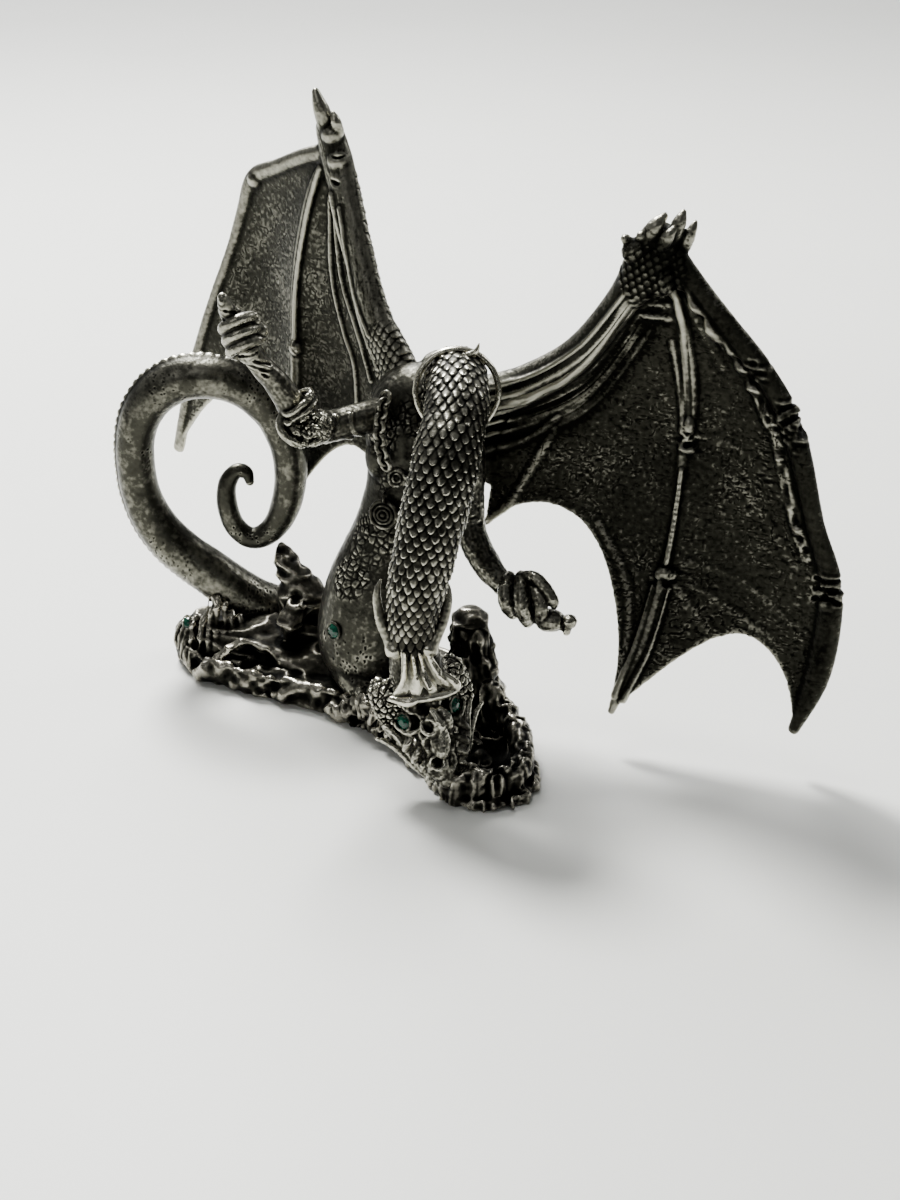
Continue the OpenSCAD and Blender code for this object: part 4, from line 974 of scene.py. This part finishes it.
def make_arm_right():
    side = (0, 0.9, 0.3)
    clay = Clay()
    clay.tube([(3.6, 0.2, 38.8, 2.2, 2.2), (0, -1.6, 38.7, 1.9, 2), (-3, -3, 38.4, 1.9, 1.9),
               (-5.4, -4.2, 38.6, 2.1, 2.1), (-6.8, -4.8, 39, 1.9, 1.9)], (0, 0, 1), 5, 20)
    clay.tube([(-6.4, -4.4, 38.6, 1.5, 1.5), (-7, -4.6, 40, 1.9, 1.9), (-7.8, -4.9, 42, 1.7, 1.7),
               (-9.2, -5.4, 44.6, 1.5, 1.5), (-10.8, -6, 46.8, 1.35, 1.3), (-11.8, -6.4, 48.8, 1.6, 1.3)],
              side, 5, 20)
    # Bell of the sleeve: its wavy hem, a second line under it, and the drooping lip
    hem = np.array([(-8.6, -5.2, 41.4), (-7.9, -6.8, 41.2), (-6.3, -6.9, 42.3), (-5.3, -5.5, 43),
                    (-5.7, -3.7, 43), (-7.3, -3.1, 42.1), (-8.5, -3.9, 41.4), (-8.6, -5.2, 41.4)])
    middle = np.array([-7, -5, 42])
    for shift, wide, wire in (((0, 0, 0), 1, 0.42), ((0.2, 0, -0.95), 1.12, 0.36)):
        clay.tube([(*p, wire) for p in middle + (hem - middle) * wide + shift], side, 4, 12)
    clay.tube([(-8.5, -5.6, 41, 0.5), (-8.9, -6.1, 39.6, 0.55), (-8.1, -6.6, 38.3, 0.55),
               (-6.6, -6.5, 37.5, 0.5), (-4.8, -6, 37.6, 0.4)], side, 5, 12)
    clay.balls(((-5.5, -6.2, 43.1), 0.5), ((-6.7, -4.8, 37.9), (1.9, 1.7, 1.4)),
               ((-4.6, -4.6, 38.9), (2, 1.9, 2)))
    # Hand: palm, three fingers folded over each other, and the finger that points up
    clay.balls(((-12.1, -6.6, 48.9), (1.5, 1.2, 1.9), (-0.4, 0, 1)),
               ((-12.8, -6.8, 51), (1.6, 1.2, 1.7), (-0.3, 0, 1)), ((-10.5, -6.5, 51), (0.9, 0.9, 0.95)))
    for x, z in ((0, 52), (0.35, 50.6), (0.7, 49.3)):
        clay.tube([(-11.2 + x, -7, z + 0.9, 0.6), (-12.5 + x, -8.2, z + 0.9, 0.68),
                   (-13.9 + x, -8.3, z + 0.3, 0.7), (-14.6 + x, -7.6, z - 0.5, 0.62),
                   (-14 + x, -7.1, z - 1.1, 0.45)], (0, 0, 1), 5, 14)
    clay.tube([(-13, -6.8, 51.2, 0.95), (-13.8, -7.3, 52.9, 0.92), (-14.1, -7.7, 54.2, 0.9),
               (-14.3, -8, 55.3, 0.6)], side, 5, 16)
    for t in np.linspace(0, 1, 5):
        clay.ball((-13 + 2.2 * t, -7.5 + 0.5 * t, 53.7 - 1.4 * t), 0.42)
    form = clay.fuse(voxel=ARM_VOXEL, rounds=3)
    form.push(form.spots((-0.9, (-6.4, -7.1, 40), 1.6), (-0.5, (-5, -6.4, 40.6), 1.1)))
    # Folds of the sleeve, wrist and palm creases, finger joints and the nail
    sleeve = form.near((-5.6, -5.2, 38.9), 4)
    cloth = fractal(form.v @ np.array([[1, 0.2, 0.9], [0, 0.7, 0], [-0.8, 0, 1.3]]), 1.1, 3, seed=81)
    form.push(0.42 * sleeve * (np.abs(cloth) * 2 - 0.5))
    form.ridge([(-1, -3, 36.9), (-2.4, -4.2, 38.2), (-2.6, -4, 40)], 0.5, 0.25)
    form.ridge([(0.4, -2.6, 37), (-0.8, -3.8, 38.2), (-1, -3.4, 40)], 0.5, 0.2)
    for z in (46.2, 46.9, 47.7):
        form.ridge([(-12.4, -6.8, z + 0.5), (-11, -7.6, z), (-9.6, -6.6, z - 0.5)], 0.32, -0.22)
    for z in (48.3, 49.2):
        form.ridge([(-13.4, -7, z), (-12, -7.8, z + 0.2), (-11, -7.4, z + 0.5)], 0.3, -0.22)
    for z in (52.7, 53.8):
        form.ridge([(-14.8, -8, z + 0.3), (-13.8, -8.6, z), (-13, -8, z - 0.2)], 0.26, -0.16)
    form.push(form.spots((0.16, (-14.5, -8.7, 54.9), 0.55)))
    form.push(0.05 * fractal(form.v, 0.6, 2, seed=82))
    form.piece("arm_right_skin", ["arm_right"], "pewter", SMOOTH_PEWTER, spread=0.07)


def make_arm_left():
    clay = Clay()
    clay.tube([(12.4, 1.4, 36.6, 2.2, 2.2), (13, 0.4, 32, 1.95, 2), (13, -0.8, 27.8, 1.75, 1.8),
               (13.3, -2.7, 24.2, 1.8, 1.9), (15, -5, 21.4, 1.75, 1.9), (16.8, -6.9, 19.9, 1.45, 1.5),
               (18.2, -8, 19.2, 1.6, 1.7)], (1, 0, 0.6), 5, 22)
    # Fist: the palm, four curled fingers, and what it holds
    clay.balls(((18.9, -8.6, 19.2), (1.7, 1.8, 1.9), (0.6, -0.5, -0.2)),
               ((20.4, -9.6, 18.9), (1.6, 1.5, 2)))
    for route in (((17.6, -8.4, 21.3, 0.8), (17.1, -10, 20.6, 0.92), (17.3, -10.9, 19, 0.94),
                   (18, -10.4, 17.5, 0.74)),
                  ((19, -9.2, 21.7, 0.8), (18.9, -11, 20.6, 0.98), (19.2, -11.7, 18.6, 1.02),
                   (19.8, -11, 16.8, 0.8)),
                  ((18.9, -9.2, 21.8, 0.6), (20.3, -10, 22.2, 0.76), (21.7, -11, 21.3, 0.78),
                   (22.6, -11.7, 20, 0.74), (22.8, -11.6, 19.2, 0.55)),
                  ((20, -10.4, 20.8, 0.7), (21, -11.6, 20.2, 0.82), (21.3, -12.2, 18.9, 0.84),
                   (21.2, -11.8, 17.6, 0.66))):
        clay.tube(route, (1, 0, 0), 5, 14)
    clay.balls(((20.6, -10, 19.6), (1.7, 1.5, 1.9)),
               ((22.4, -11.3, 17.1), (1.6, 1.4, 1.95), (1, -0.45, 0)),
               ((24.6, -12.1, 17.3), (0.95, 0.9, 1), (1, -0.4, 0.2)),
               ((24.3, -12.4, 16.3), (0.6, 0.6, 0.7)))
    form = clay.fuse(voxel=ARM_VOXEL, rounds=3)
    for z in (27.6, 26.6, 25.6, 24.4):
        form.ridge([(11.2, -1.6, z - 0.5), (12.4, -3.4, z), (14.4, -3.2, z + 0.4)], 0.42, -0.2)
    for z in (35, 33.6):
        form.ridge([(10.6, -0.6, z + 1), (12.4, -2, z), (14.6, -1.4, z - 0.4)], 0.5, 0.2)
    form.ridges(
        None,
        ([(15.6, -7.6, 18.6), (16.4, -8.4, 19.8), (17.2, -7.6, 21.4)], 0.32, -0.3),
        ([(16.2, -8, 18.2), (17.1, -8.8, 19.4), (17.9, -8, 21.4)], 0.28, -0.2),
        ([(23.6, -11, 18.2), (23.8, -12.8, 17.2), (23.7, -12.4, 15.8)], 0.32, -0.3))
    form.push(0.09 * fractal(form.v, 1.4, 3, seed=85) + 0.04 * noise(form.v, 0.35, seed=86))
    form.piece("arm_left_skin", ["arm_left"], "pewter", SMOOTH_PEWTER, spread=0.07)


# ---------------------------------------------------------------- rock

FRONT_EDGE = np.array([(-25.6, 9.6), (-24, 6.4), (-21, 3.4), (-15, 0), (-8.5, -2.8), (-2, -6.2),
                       (3, -12), (7, -18)])


def front_y(x):
    """Where the rock's front wall stands at x."""
    return np.interp(x, FRONT_EDGE[:, 0], FRONT_EDGE[:, 1])


def add_slab(clay, outline, height):
    """A slab of rock with an undercut foot, from a closed outline."""
    ring = spline(outline + outline[:1], 6)[:-1]
    middle = ring.mean(0)
    rings = []
    for share, inset in ((0, 0.965), (0.15, 0.985), (0.45, 1), (0.8, 0.985), (1, 0.95)):
        level = np.full(len(ring), share * height)
        rings.append(np.column_stack([middle + (ring - middle) * inset, level]))
    clay.add(*capped(np.array(rings)))


def make_rock():
    clay = Clay()
    add_slab(clay, [(-26, 10), (-25.5, 15), (-20, 17.5), (-12, 18), (-3, 16), (3, 8), (0, -7.6), (-2, -6.2),
                    (-8.5, -2.8), (-15, 0), (-21, 3.4), (-24, 6.4)], 3.2)
    add_slab(clay, [(-3, 16), (5, 12.5), (11, 7), (16, 1.8), (17.6, -2.5), (13, -10), (7, -18), (3, -12),
                    (-2, -6.2), (-5, 4)], 3)
    add_slab(clay, [(16, 1.8), (17.6, -2.5), (19.2, -11), (21, -17), (20.6, -23.2), (17.5, -26.2),
                    (13.5, -26.2), (9.6, -23.6), (7, -18), (5, -10), (8, -2)], 1.2)
    # The ridge under the tail, the crag behind it with its spur, and the pillar
    clay.tube([(-25, 13, 2.4, 1.5, 1.5), (-23, 12.2, 3.4, 3.4, 2.8), (-18, 10, 3.4, 4.6, 3.2),
               (-12, 8, 3, 5.4, 4), (-5, 5, 2, 6, 3)], (0, 1, 0), 5, 24)
    clay.tube([(-7.6, 8, 2, 4.6, 3.6), (-8, 8, 7, 3.9, 3), (-8.8, 8.4, 10.6, 3, 2.6),
               (-10.2, 9.4, 13.6, 1.8, 1.8), (-11.4, 11, 16, 1.1, 1.1)], (1, 0, 0), 5, 24)
    clay.tube([(-9.4, 5.6, 10, 1.3), (-10.2, 4.4, 8, 1.5), (-10.6, 3.8, 6.6, 1.1)], (1, 0, 0), 4, 14)
    clay.tube([(13.2, -7.6, 1, 3.8, 3.4), (13.4, -6.4, 5, 3.3, 3), (13.3, -4.8, 9, 3, 2.7),
               (13.1, -3.8, 12, 2.7, 2.5)], (1, 0, 0), 5, 22)
    clay.balls(((11.9, -5.4, 12), (1.7, 1.6, 1.4), (0.3, 0, 1)),
               ((14.3, -5.2, 11.6), (1.5, 1.6, 1.9)),
               ((14.7, -6, 8.6), (1.5, 1.7, 1.6)), ((12.6, -7.4, 7.6), (1.9, 1.5, 2.6)))
    for place, size in (((15.4, -6.6, 7.2), 1.2), ((15.6, -9, 5.2), 1.7), ((17.4, -10.4, 3.6), 1.5),
                        ((11.6, -4.6, 12), 1.2), ((14.2, -4.2, 12.2), 1.2), ((15.2, -5, 10), 1.1)):
        clay.ball(place, (size, size, size * 1.2))
    # Wall round the pool
    for z, wide in ((0.9, 1.9), (2.3, 1.6), (3.3, 1.1)):
        clay.tube([(14.6, -7, z + 1, wide + 0.9, 1.6), (17.3, -9.8, z + 0.6, wide, 1.3),
                   (18.9, -13.4, z, wide, 1.2), (19.2, -17.6, z, wide, 1.2), (18.6, -21.6, z, wide, 1.2),
                   (15.8, -24, z, wide, 1.2), (12.6, -24.2, z - 0.3, wide, 1.2),
                   (10.6, -23.6, z - 0.9, 1.2, 1)], (0, 0, 1), 5, 18)
    # Three pitted, skull-like lumps at the dragon's cheek, and a cluster of leaf-like pebbles
    clay.balls(((12.4, -16.6, 3), (2, 1.8, 2.1)), ((14, -18.8, 2.2), (1.6, 1.6, 1.5)),
               ((12.6, -20.6, 1.8), (1.5, 1.5, 1.5)))
    pick = np.random.default_rng(7)
    for _ in range(34):
        t = pick.random()
        x = -0.8 + 5.4 * t + pick.normal() * 0.5
        y = -7.2 - 6.6 * t + pick.normal() * 0.6
        tilt = pick.normal(size=3) * 0.6 + (0.2, -0.3, 1)
        clay.ball((x, y, 2.6 + 2 * pick.random()), (0.34, 0.5, 0.8 + 0.3 * pick.random()), tilt,
                  pick.normal(size=3), 12)
    # Lump under the crystal, and roots that climb to the tail
    clay.ball((-23.8, 10.2, 3.2), (2.3, 2.4, 2.8))
    for x, y, top, lean in ((-24.8, 8.8, 5.6, 0.6), (-23.6, 7.8, 6.8, 0.9), (-22.6, 7.2, 9.4, 1.6),
                            (-21.4, 6.8, 9.8, 1.2), (-20.2, 6.4, 10, 0.5), (-19, 6.2, 9, 0.2),
                            (-17.8, 6, 8, -0.2), (-16.4, 6, 7.2, -0.6)):
        clay.tube([(x, y - 1.2, 1.6, 0.55), (x + 0.3, y - 0.4, 3.6, 0.4),
                   (x + lean * 0.4, y + 0.9, 5.8, 0.38), (x + lean, y + 2.6, top, 0.3)], (0, 1, 0), 5, 10)
    # Arch over the hollow in the front wall
    clay.tube([(-19.6, 3.6, 3.4, 0.4), (-18, 3.8, 4.9, 0.5), (-15.6, 4.2, 5.7, 0.52),
               (-13.2, 3.6, 5.3, 0.5), (-12, 2.8, 4.3, 0.4)], (0, 1, 0), 6, 12)
    form = clay.fuse(voxel=0.2, rounds=2)
    v = form.v
    wall = step_up(-(v[:, 1] - front_y(v[:, 0])), -2.2, -0.8) * (v[:, 0] < 8) * (v[:, 2] < 5)
    form.push(form.spots((-1.3, (-15.8, 3, 4.2), 2.4), (-0.8, (-12.8, 2.6, 4), 1.8)))
    # Leaf-like folds slant up the front wall; hollows lie between them.
    for k in range(24):
        x = -24.5 + 29 * pick.random()
        run = 0.4 + 3.6 * pick.random()
        foot, top = 0.3 + 1.2 * pick.random(), 2 + 1.8 * pick.random()
        middle = x + run * (0.3 + 0.4 * pick.random())
        wide = 0.55 + 0.4 * pick.random()
        height = (0.55 if k % 3 else -0.9) * wide
        form.ridge([(x, front_y(x) - 0.2, foot), (middle, front_y(middle) - 0.1, (foot + top) / 2),
                    (x + run, front_y(x + run) + 0.6, top)], 1.6 * wide, height)
    form.push(0.42 * wall * noise(form.v * (1, 1, 0.8), 1.2, seed=88))
    brim = [(x, front_y(x) + 0.8, 3.2 + 0.3 * math.sin(x)) for x in np.arange(-22, 1, 2.3)]
    form.ridge(brim, 0.7, 0.4)
    # Bark-like grooves run down the pool's wall, the pillar and the lump under the crystal.
    q = form.v * (1, 1, 0.22)
    bark = noise(q, 1.15, seed=91) + 0.4 * noise(q, 0.6, seed=92)
    from_pool = np.hypot(form.v[:, 0] - 15.3, form.v[:, 1] + 16.8)
    pool_side = step_up(from_pool, 4, 5) * (form.v[:, 1] < -6)
    upright = np.maximum(pool_side, form.near((-24, 9, 3), 6))
    upright = np.maximum(upright, form.near((13.2, -6, 7), 9) * 0.3)
    form.push(0.62 * upright * (0.45 - 1.5 * np.abs(bark)))
    # Everywhere else sharp-crested folds lie flat and wander.
    q = form.v * (0.4, 0.5, 1.1)
    layers = noise(q, 1.9, seed=93) + 0.35 * noise(q, 0.9, seed=94)
    form.push(0.75 * (1 - upright) * (1 - wall) * (0.4 - 1.5 * np.abs(layers)))
    form.push(0.05 * fractal(form.v, 0.9, 2, seed=96))
    # Sockets of the skull-like lumps
    for place, size in (((11.4, -17.8, 4), 0.8), ((13.2, -18, 3.9), 0.75), ((13.3, -20, 3.2), 0.65),
                        ((14.8, -20, 2.9), 0.6), ((12, -22, 2.4), 0.55)):
        uneven = 0.7 + 0.8 * noise(form.v, 0.7, seed=98)
        form.push(-1.1 * uneven * form.near(place, size * 1.35))
    # The pillar is a rough block. The pool's rim is jagged, and the spur is smooth with two hollows.
    form.push(0.55 * form.near((13.4, -5, 11), 4.6) * noise(form.v, 1.7, seed=89))
    rim = form.near_line([(17.3, -9.8, 4), (18.9, -13.4, 4), (19.2, -17.6, 4), (18.6, -21.6, 4),
                          (15.8, -24, 4), (12.6, -24.2, 3.6)], 1.4)
    form.push(0.6 * rim * noise(form.v, 0.9, seed=97))
    form.push(form.spots((-0.9, (-9.4, 5.2, 12), 1.5), (-0.7, (-6.6, 4.8, 8.4), 2.3)))
    # Darker on the pillar, the pool's wall and inside the pool
    form.tone = form.spots((-0.22, (13.4, -5.4, 9.6), 7.4), (-0.2, (17, -18, 1.6), 6),
                           (-0.35, (15, -17, 1.5), 4.6)) - 0.14
    form.piece("rock_skin", ["rock_base"], "pewter", ROCK_PEWTER, spread=0.12)


# ---------------------------------------------------------------- stones and jewellery

STONE_R = 0.95
JEWEL_VOXEL = 0.08


def gem_material():
    """Dark green glass with a faint cloud in it."""
    mat, tree, shader, place = new_material("green_stone")
    milk = cloud(tree, place, 900.0, 3.0)
    colour = ramp(tree, milk, (0.3, (0, 0.012, 0.008)), (0.75, (0, 0.1, 0.055)))
    feed(tree, shader, {"Base Color": colour, "Roughness": 0.05, "IOR": 1.5})
    return mat


STONE_LEVELS = ((-0.72, 0.2), (-0.05, 1), (0.1, 1), (0.4, 0.74), (0.56, 0.36))   # height, width
FACETS = 16
CROWN = 2          # the level whose facets meet the next one's half a step round


def make_stone(name, node, place, facing, material, slot="green_stone"):
    """A round cut stone: table, two rows of crown facets, girdle and a blunt pavilion."""
    w = unit(facing)
    u = unit(np.cross((0, 0, 1), w))
    v = np.cross(w, u)
    verts, faces = [], []
    for row, (height, wide) in enumerate(STONE_LEVELS):
        for k in range(FACETS):
            turn = 2 * math.pi * (k + 0.5 * (row == CROWN + 1)) / FACETS
            outward = u * math.cos(turn) + v * math.sin(turn)
            verts.append(np.asarray(place) + STONE_R * (w * height + wide * outward))
    for row in range(len(STONE_LEVELS) - 1):
        for k in range(FACETS):
            a, b = row * FACETS + k, row * FACETS + (k + 1) % FACETS
            c, d = a + FACETS, b + FACETS
            faces += [(a, b, c), (b, d, c)] if row == CROWN else [(a, b, d, c)]
    faces.append(tuple(range(len(verts) - FACETS, len(verts))))
    faces.append(tuple(reversed(range(FACETS))))
    me = bpy.data.meshes.new(name)
    me.from_pydata([tuple(p * MM) for p in verts], [], faces)
    me.materials.append(material)
    ob = put(name, me)
    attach(ob, "root")
    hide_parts(node)
    # A bezel of metal holds the stone.
    clay = Clay()
    clay.tube(ring_route(np.asarray(place) + 0.08 * w, w, STONE_R + 0.1, 0.17), w, 3, 10)
    bezel = clay.fuse(voxel=0.07, rounds=1)
    bezel.push(0.03 * noise(bezel.v, 0.3, seed=99))
    bezel.tone = -0.3
    bezel.piece(name + "_bezel", [], slot, PEWTER, spread=0.05)


def make_jewellery():
    # Collar: two wires side by side, with a peak at the top
    facing = unit((0, -0.97, 0.24))
    centre = np.array([11.4, -5, 43.4])
    clay = Clay()
    for shift in (-0.34, 0.4):
        clay.tube(ring_route(centre + shift * facing, facing, 4.75, 0.36, 36), facing, 3, 12)
    clay.tube([(12.6, -5.2, 47.7, 0.4), (13.5, -5.4, 48.2, 0.36), (13.8, -5.4, 48.9, 0.2),
               (13.9, -5.4, 49.2, 0.1)], (1, 0, 0), 4, 10)
    torc = clay.fuse(voxel=JEWEL_VOXEL, rounds=2)
    torc.push(0.03 * fractal(torc.v, 0.8, 2, seed=101))
    torc.piece("torc_band", ["neck_torc"], "rubbed_pewter", RUBBED_PEWTER, spread=0.05)
    # Chain of thick, twisted links
    chain = [(3.2, -3.3, 42.2), (2.7, -3.7, 40.6), (2.4, -4, 38.8), (2.4, -4.1, 37),
             (2.7, -4.1, 35.2), (3.1, -4, 33.6)]
    clay = Clay()
    links = 11
    for k in range(links):
        place = at_share(chain, (k + 0.5) / links)
        ahead = unit(at_share(chain, min(1, (k + 1) / links)) - at_share(chain, k / links))
        across = unit(np.cross(ahead, (0, 1, 0)))
        face = unit(np.cross(ahead, across) + (0.75 if k % 2 else -0.75) * across)
        wide = unit(np.cross(face, ahead))
        clay.tube([(*(place + 0.72 * math.cos(t) * ahead + 0.62 * math.sin(t) * wide), 0.26)
                   for t in np.linspace(0, 2 * math.pi, 13)], face, 3, 10)
    form = clay.fuse(voxel=JEWEL_VOXEL, rounds=1)
    form.push(0.04 * fractal(form.v, 0.5, 2, seed=102))
    form.tone = -0.16
    form.piece("chain_links", ["necklace_chain"], "rubbed_pewter", PEWTER, spread=0.06)
    # Brooch: a ring, a smaller ring inside it and a low boss behind them
    face = unit((-0.3, -0.94, 0.15))
    place = np.array([4.5, -3.2, 32]) + 0.5 * face
    clay = Clay()
    clay.tube(ring_route(place, face, 0.95, 0.28, 18), face, 3, 12)
    clay.tube(ring_route(place + 0.1 * face, face, 0.5, 0.18), face, 3, 10)
    clay.ball(place - 0.2 * face, (0.95, 0.95, 0.4), face)
    form = clay.fuse(voxel=JEWEL_VOXEL, rounds=1)
    form.push(0.16 * fractal(form.v, 0.6, 2, seed=103))
    form.tone = -0.2
    form.piece("brooch_ring", ["brooch"], "rubbed_pewter", PEWTER, spread=0.06)
    # Medallion: rings within rings, hung by a small ring
    face = unit((-0.35, -0.93, 0.1))
    place = np.array([2.9, -2.9, 27.2]) + 0.7 * face
    clay = Clay()
    for radius, wire in ((1.65, 0.26), (1.12, 0.2), (0.66, 0.18)):
        clay.tube(ring_route(place + (1.65 - radius) * 0.15 * face, face, radius, wire, 20), face, 3, 10)
    clay.ball(place + 0.2 * face, (0.3, 0.3, 0.34), face)
    clay.ball(place - 0.2 * face, (1.7, 1.7, 0.4), face)
    clay.tube(ring_route(place + (0.15, 0, 2.2), (1, -0.2, 0), 0.55, 0.2), face, 3, 10)
    form = clay.fuse(voxel=JEWEL_VOXEL, rounds=1)
    form.push(0.11 * fractal(form.v, 0.7, 2, seed=104))
    # The rings are darker overall, with a painted highlight low on them.
    form.tone = -0.34 + 0.3 * form.near(place - (0, 0, 1.6), 1.3)
    form.piece("medallion_rings", ["medallion"], "rubbed_pewter", PEWTER, spread=0.06)


# ---------------------------------------------------------------- floor, light and camera


def make_floor():
    mat, tree, shader, place = new_material("floor")
    mottle = cloud(tree, place, 14.0, 5.0)
    colour = ramp(tree, mottle, (0, (0.78, 0.785, 0.755)), (1, (0.83, 0.835, 0.805)))
    feed(tree, shader, {"Base Color": colour, "Roughness": 0.5})
    me = bpy.data.meshes.new("floor")
    half = 1.5
    me.from_pydata([(-half, -half, 0), (half, -half, 0), (half, half, 0), (-half, half, 0)], [],
                   [(0, 1, 2, 3)])
    me.materials.append(mat)
    ob = put("floor", me)


def area_light(name, place, target, size, power, colour=(1, 1, 1)):
    """A round light, in metres and watts, that faces a target."""
    light = bpy.data.lights.new(name, "AREA")
    light.shape = "DISK"
    light.size = size
    light.energy = power
    light.color = colour
    ob = put(name, light)
    ob.location = place
    ob.rotation_euler = (Vector(target) - Vector(place)).to_track_quat("-Z", "Y").to_euler()


def make_light():
    world = bpy.data.worlds.new("studio")
    bpy.context.scene.world = world
    world.use_nodes = True
    tree = world.node_tree
    # A dim room in front of the figure, brighter above and behind it
    place = add_node(tree, "TexCoord", "Generated", {})
    depth = add_node(tree, "SeparateXYZ", "Y", {"Vector": place})
    away = add_node(tree, "MapRange", "Result", {"Value": depth, "From Min": -0.9, "From Max": 0.8})
    room = ramp(tree, away, (0, (0.14, 0.145, 0.14)), (1, (1, 1.02, 1)))
    feed(tree, tree.nodes["Background"], {"Color": room, "Strength": 0.33})
    middle = (0.01, -0.01, 0.02)
    warm = (1, 1, 0.97)
    area_light("ceiling", (-0.06, 0.08, 0.55), middle, size=0.1, power=0.8, colour=warm)
    area_light("window", (-0.14, 0.28, 0.46), middle, size=0.14, power=7.4, colour=warm)
    area_light("side", (0.36, 0.2, 0.3), middle, size=0.16, power=0.5)
    area_light("front_fill", (-0.2, -0.4, 0.4), middle, size=0.3, power=0.25)
    area_light("far_wall", (-0.4, 1.1, 0.9), (-0.1, 0.7, 0), size=0.9, power=22)


def make_camera():
    """The photograph's camera: 27 degrees down, 210 mm away, a 50 mm lens."""
    tilt = math.radians(27)
    reach = 0.210
    look = Vector((0.0106, 0, 0.014))
    cam = bpy.data.cameras.new("camera")
    cam.sensor_width = 36
    cam.lens = 50.4
    cam.clip_start = 0.01
    cam.clip_end = 10
    ob = put("camera", cam)
    ob.location = look + reach * Vector((0, -math.cos(tilt), math.sin(tilt)))
    ob.rotation_euler = (math.pi / 2 - tilt, 0, 0)
    bpy.context.scene.camera = ob


make_camera()
make_floor()
make_light()
make_neck()
make_tail()
make_wing_left()
make_wing_right()
make_body()
make_head()
make_crest()
make_horn("horn_right_curl", "horn_right",
          [(4.9, -19.6, 16.8, 0.8, 0.8), (4.3, -19.5, 17.7, 1.2, 1.2), (3.7, -19.2, 18.7, 0.72, 0.72),
           (2.9, -18.8, 20.6, 0.66, 0.66), (2.4, -18.2, 22.8, 0.52, 0.52), (2.4, -18, 24.4, 0.36, 0.36),
           (2.8, -17.8, 25.6, 0.14, 0.14)], 111)
make_horn("horn_left_curl", "horn_left",
          [(7.8, -19.6, 17, 0.8, 0.8), (8.2, -19.5, 17.8, 1.15, 1.15), (8.9, -19.2, 18.8, 0.7, 0.7),
           (9.8, -18.6, 20.8, 0.62, 0.62), (10.3, -17.9, 22.8, 0.55, 0.55), (10.3, -17.3, 24.4, 0.36, 0.36),
           (9.8, -16.9, 25.4, 0.14, 0.14)], 112)
make_arm_right()
make_arm_left()
make_rock()
GEM = gem_material()
for stone, node, place, facing in (
        ("eye_right_stone", "eye_right", (5.3, -21.6, 9.3), (-0.62, -0.76, 0.2)),
        ("eye_left_stone", "eye_left", (11.1, -19.7, 10.4), (0.85, -0.48, 0.2)),
        ("hip_stone", "hip_crystal", (-3.7, -4.3, 11.9), (-0.65, -0.74, 0.15)),
        ("base_stone", "base_crystal", (-24.2, 9.6, 5.6), (-0.75, -0.5, 0.43))):
    make_stone(stone, node, place, facing, GEM)
make_jewellery()
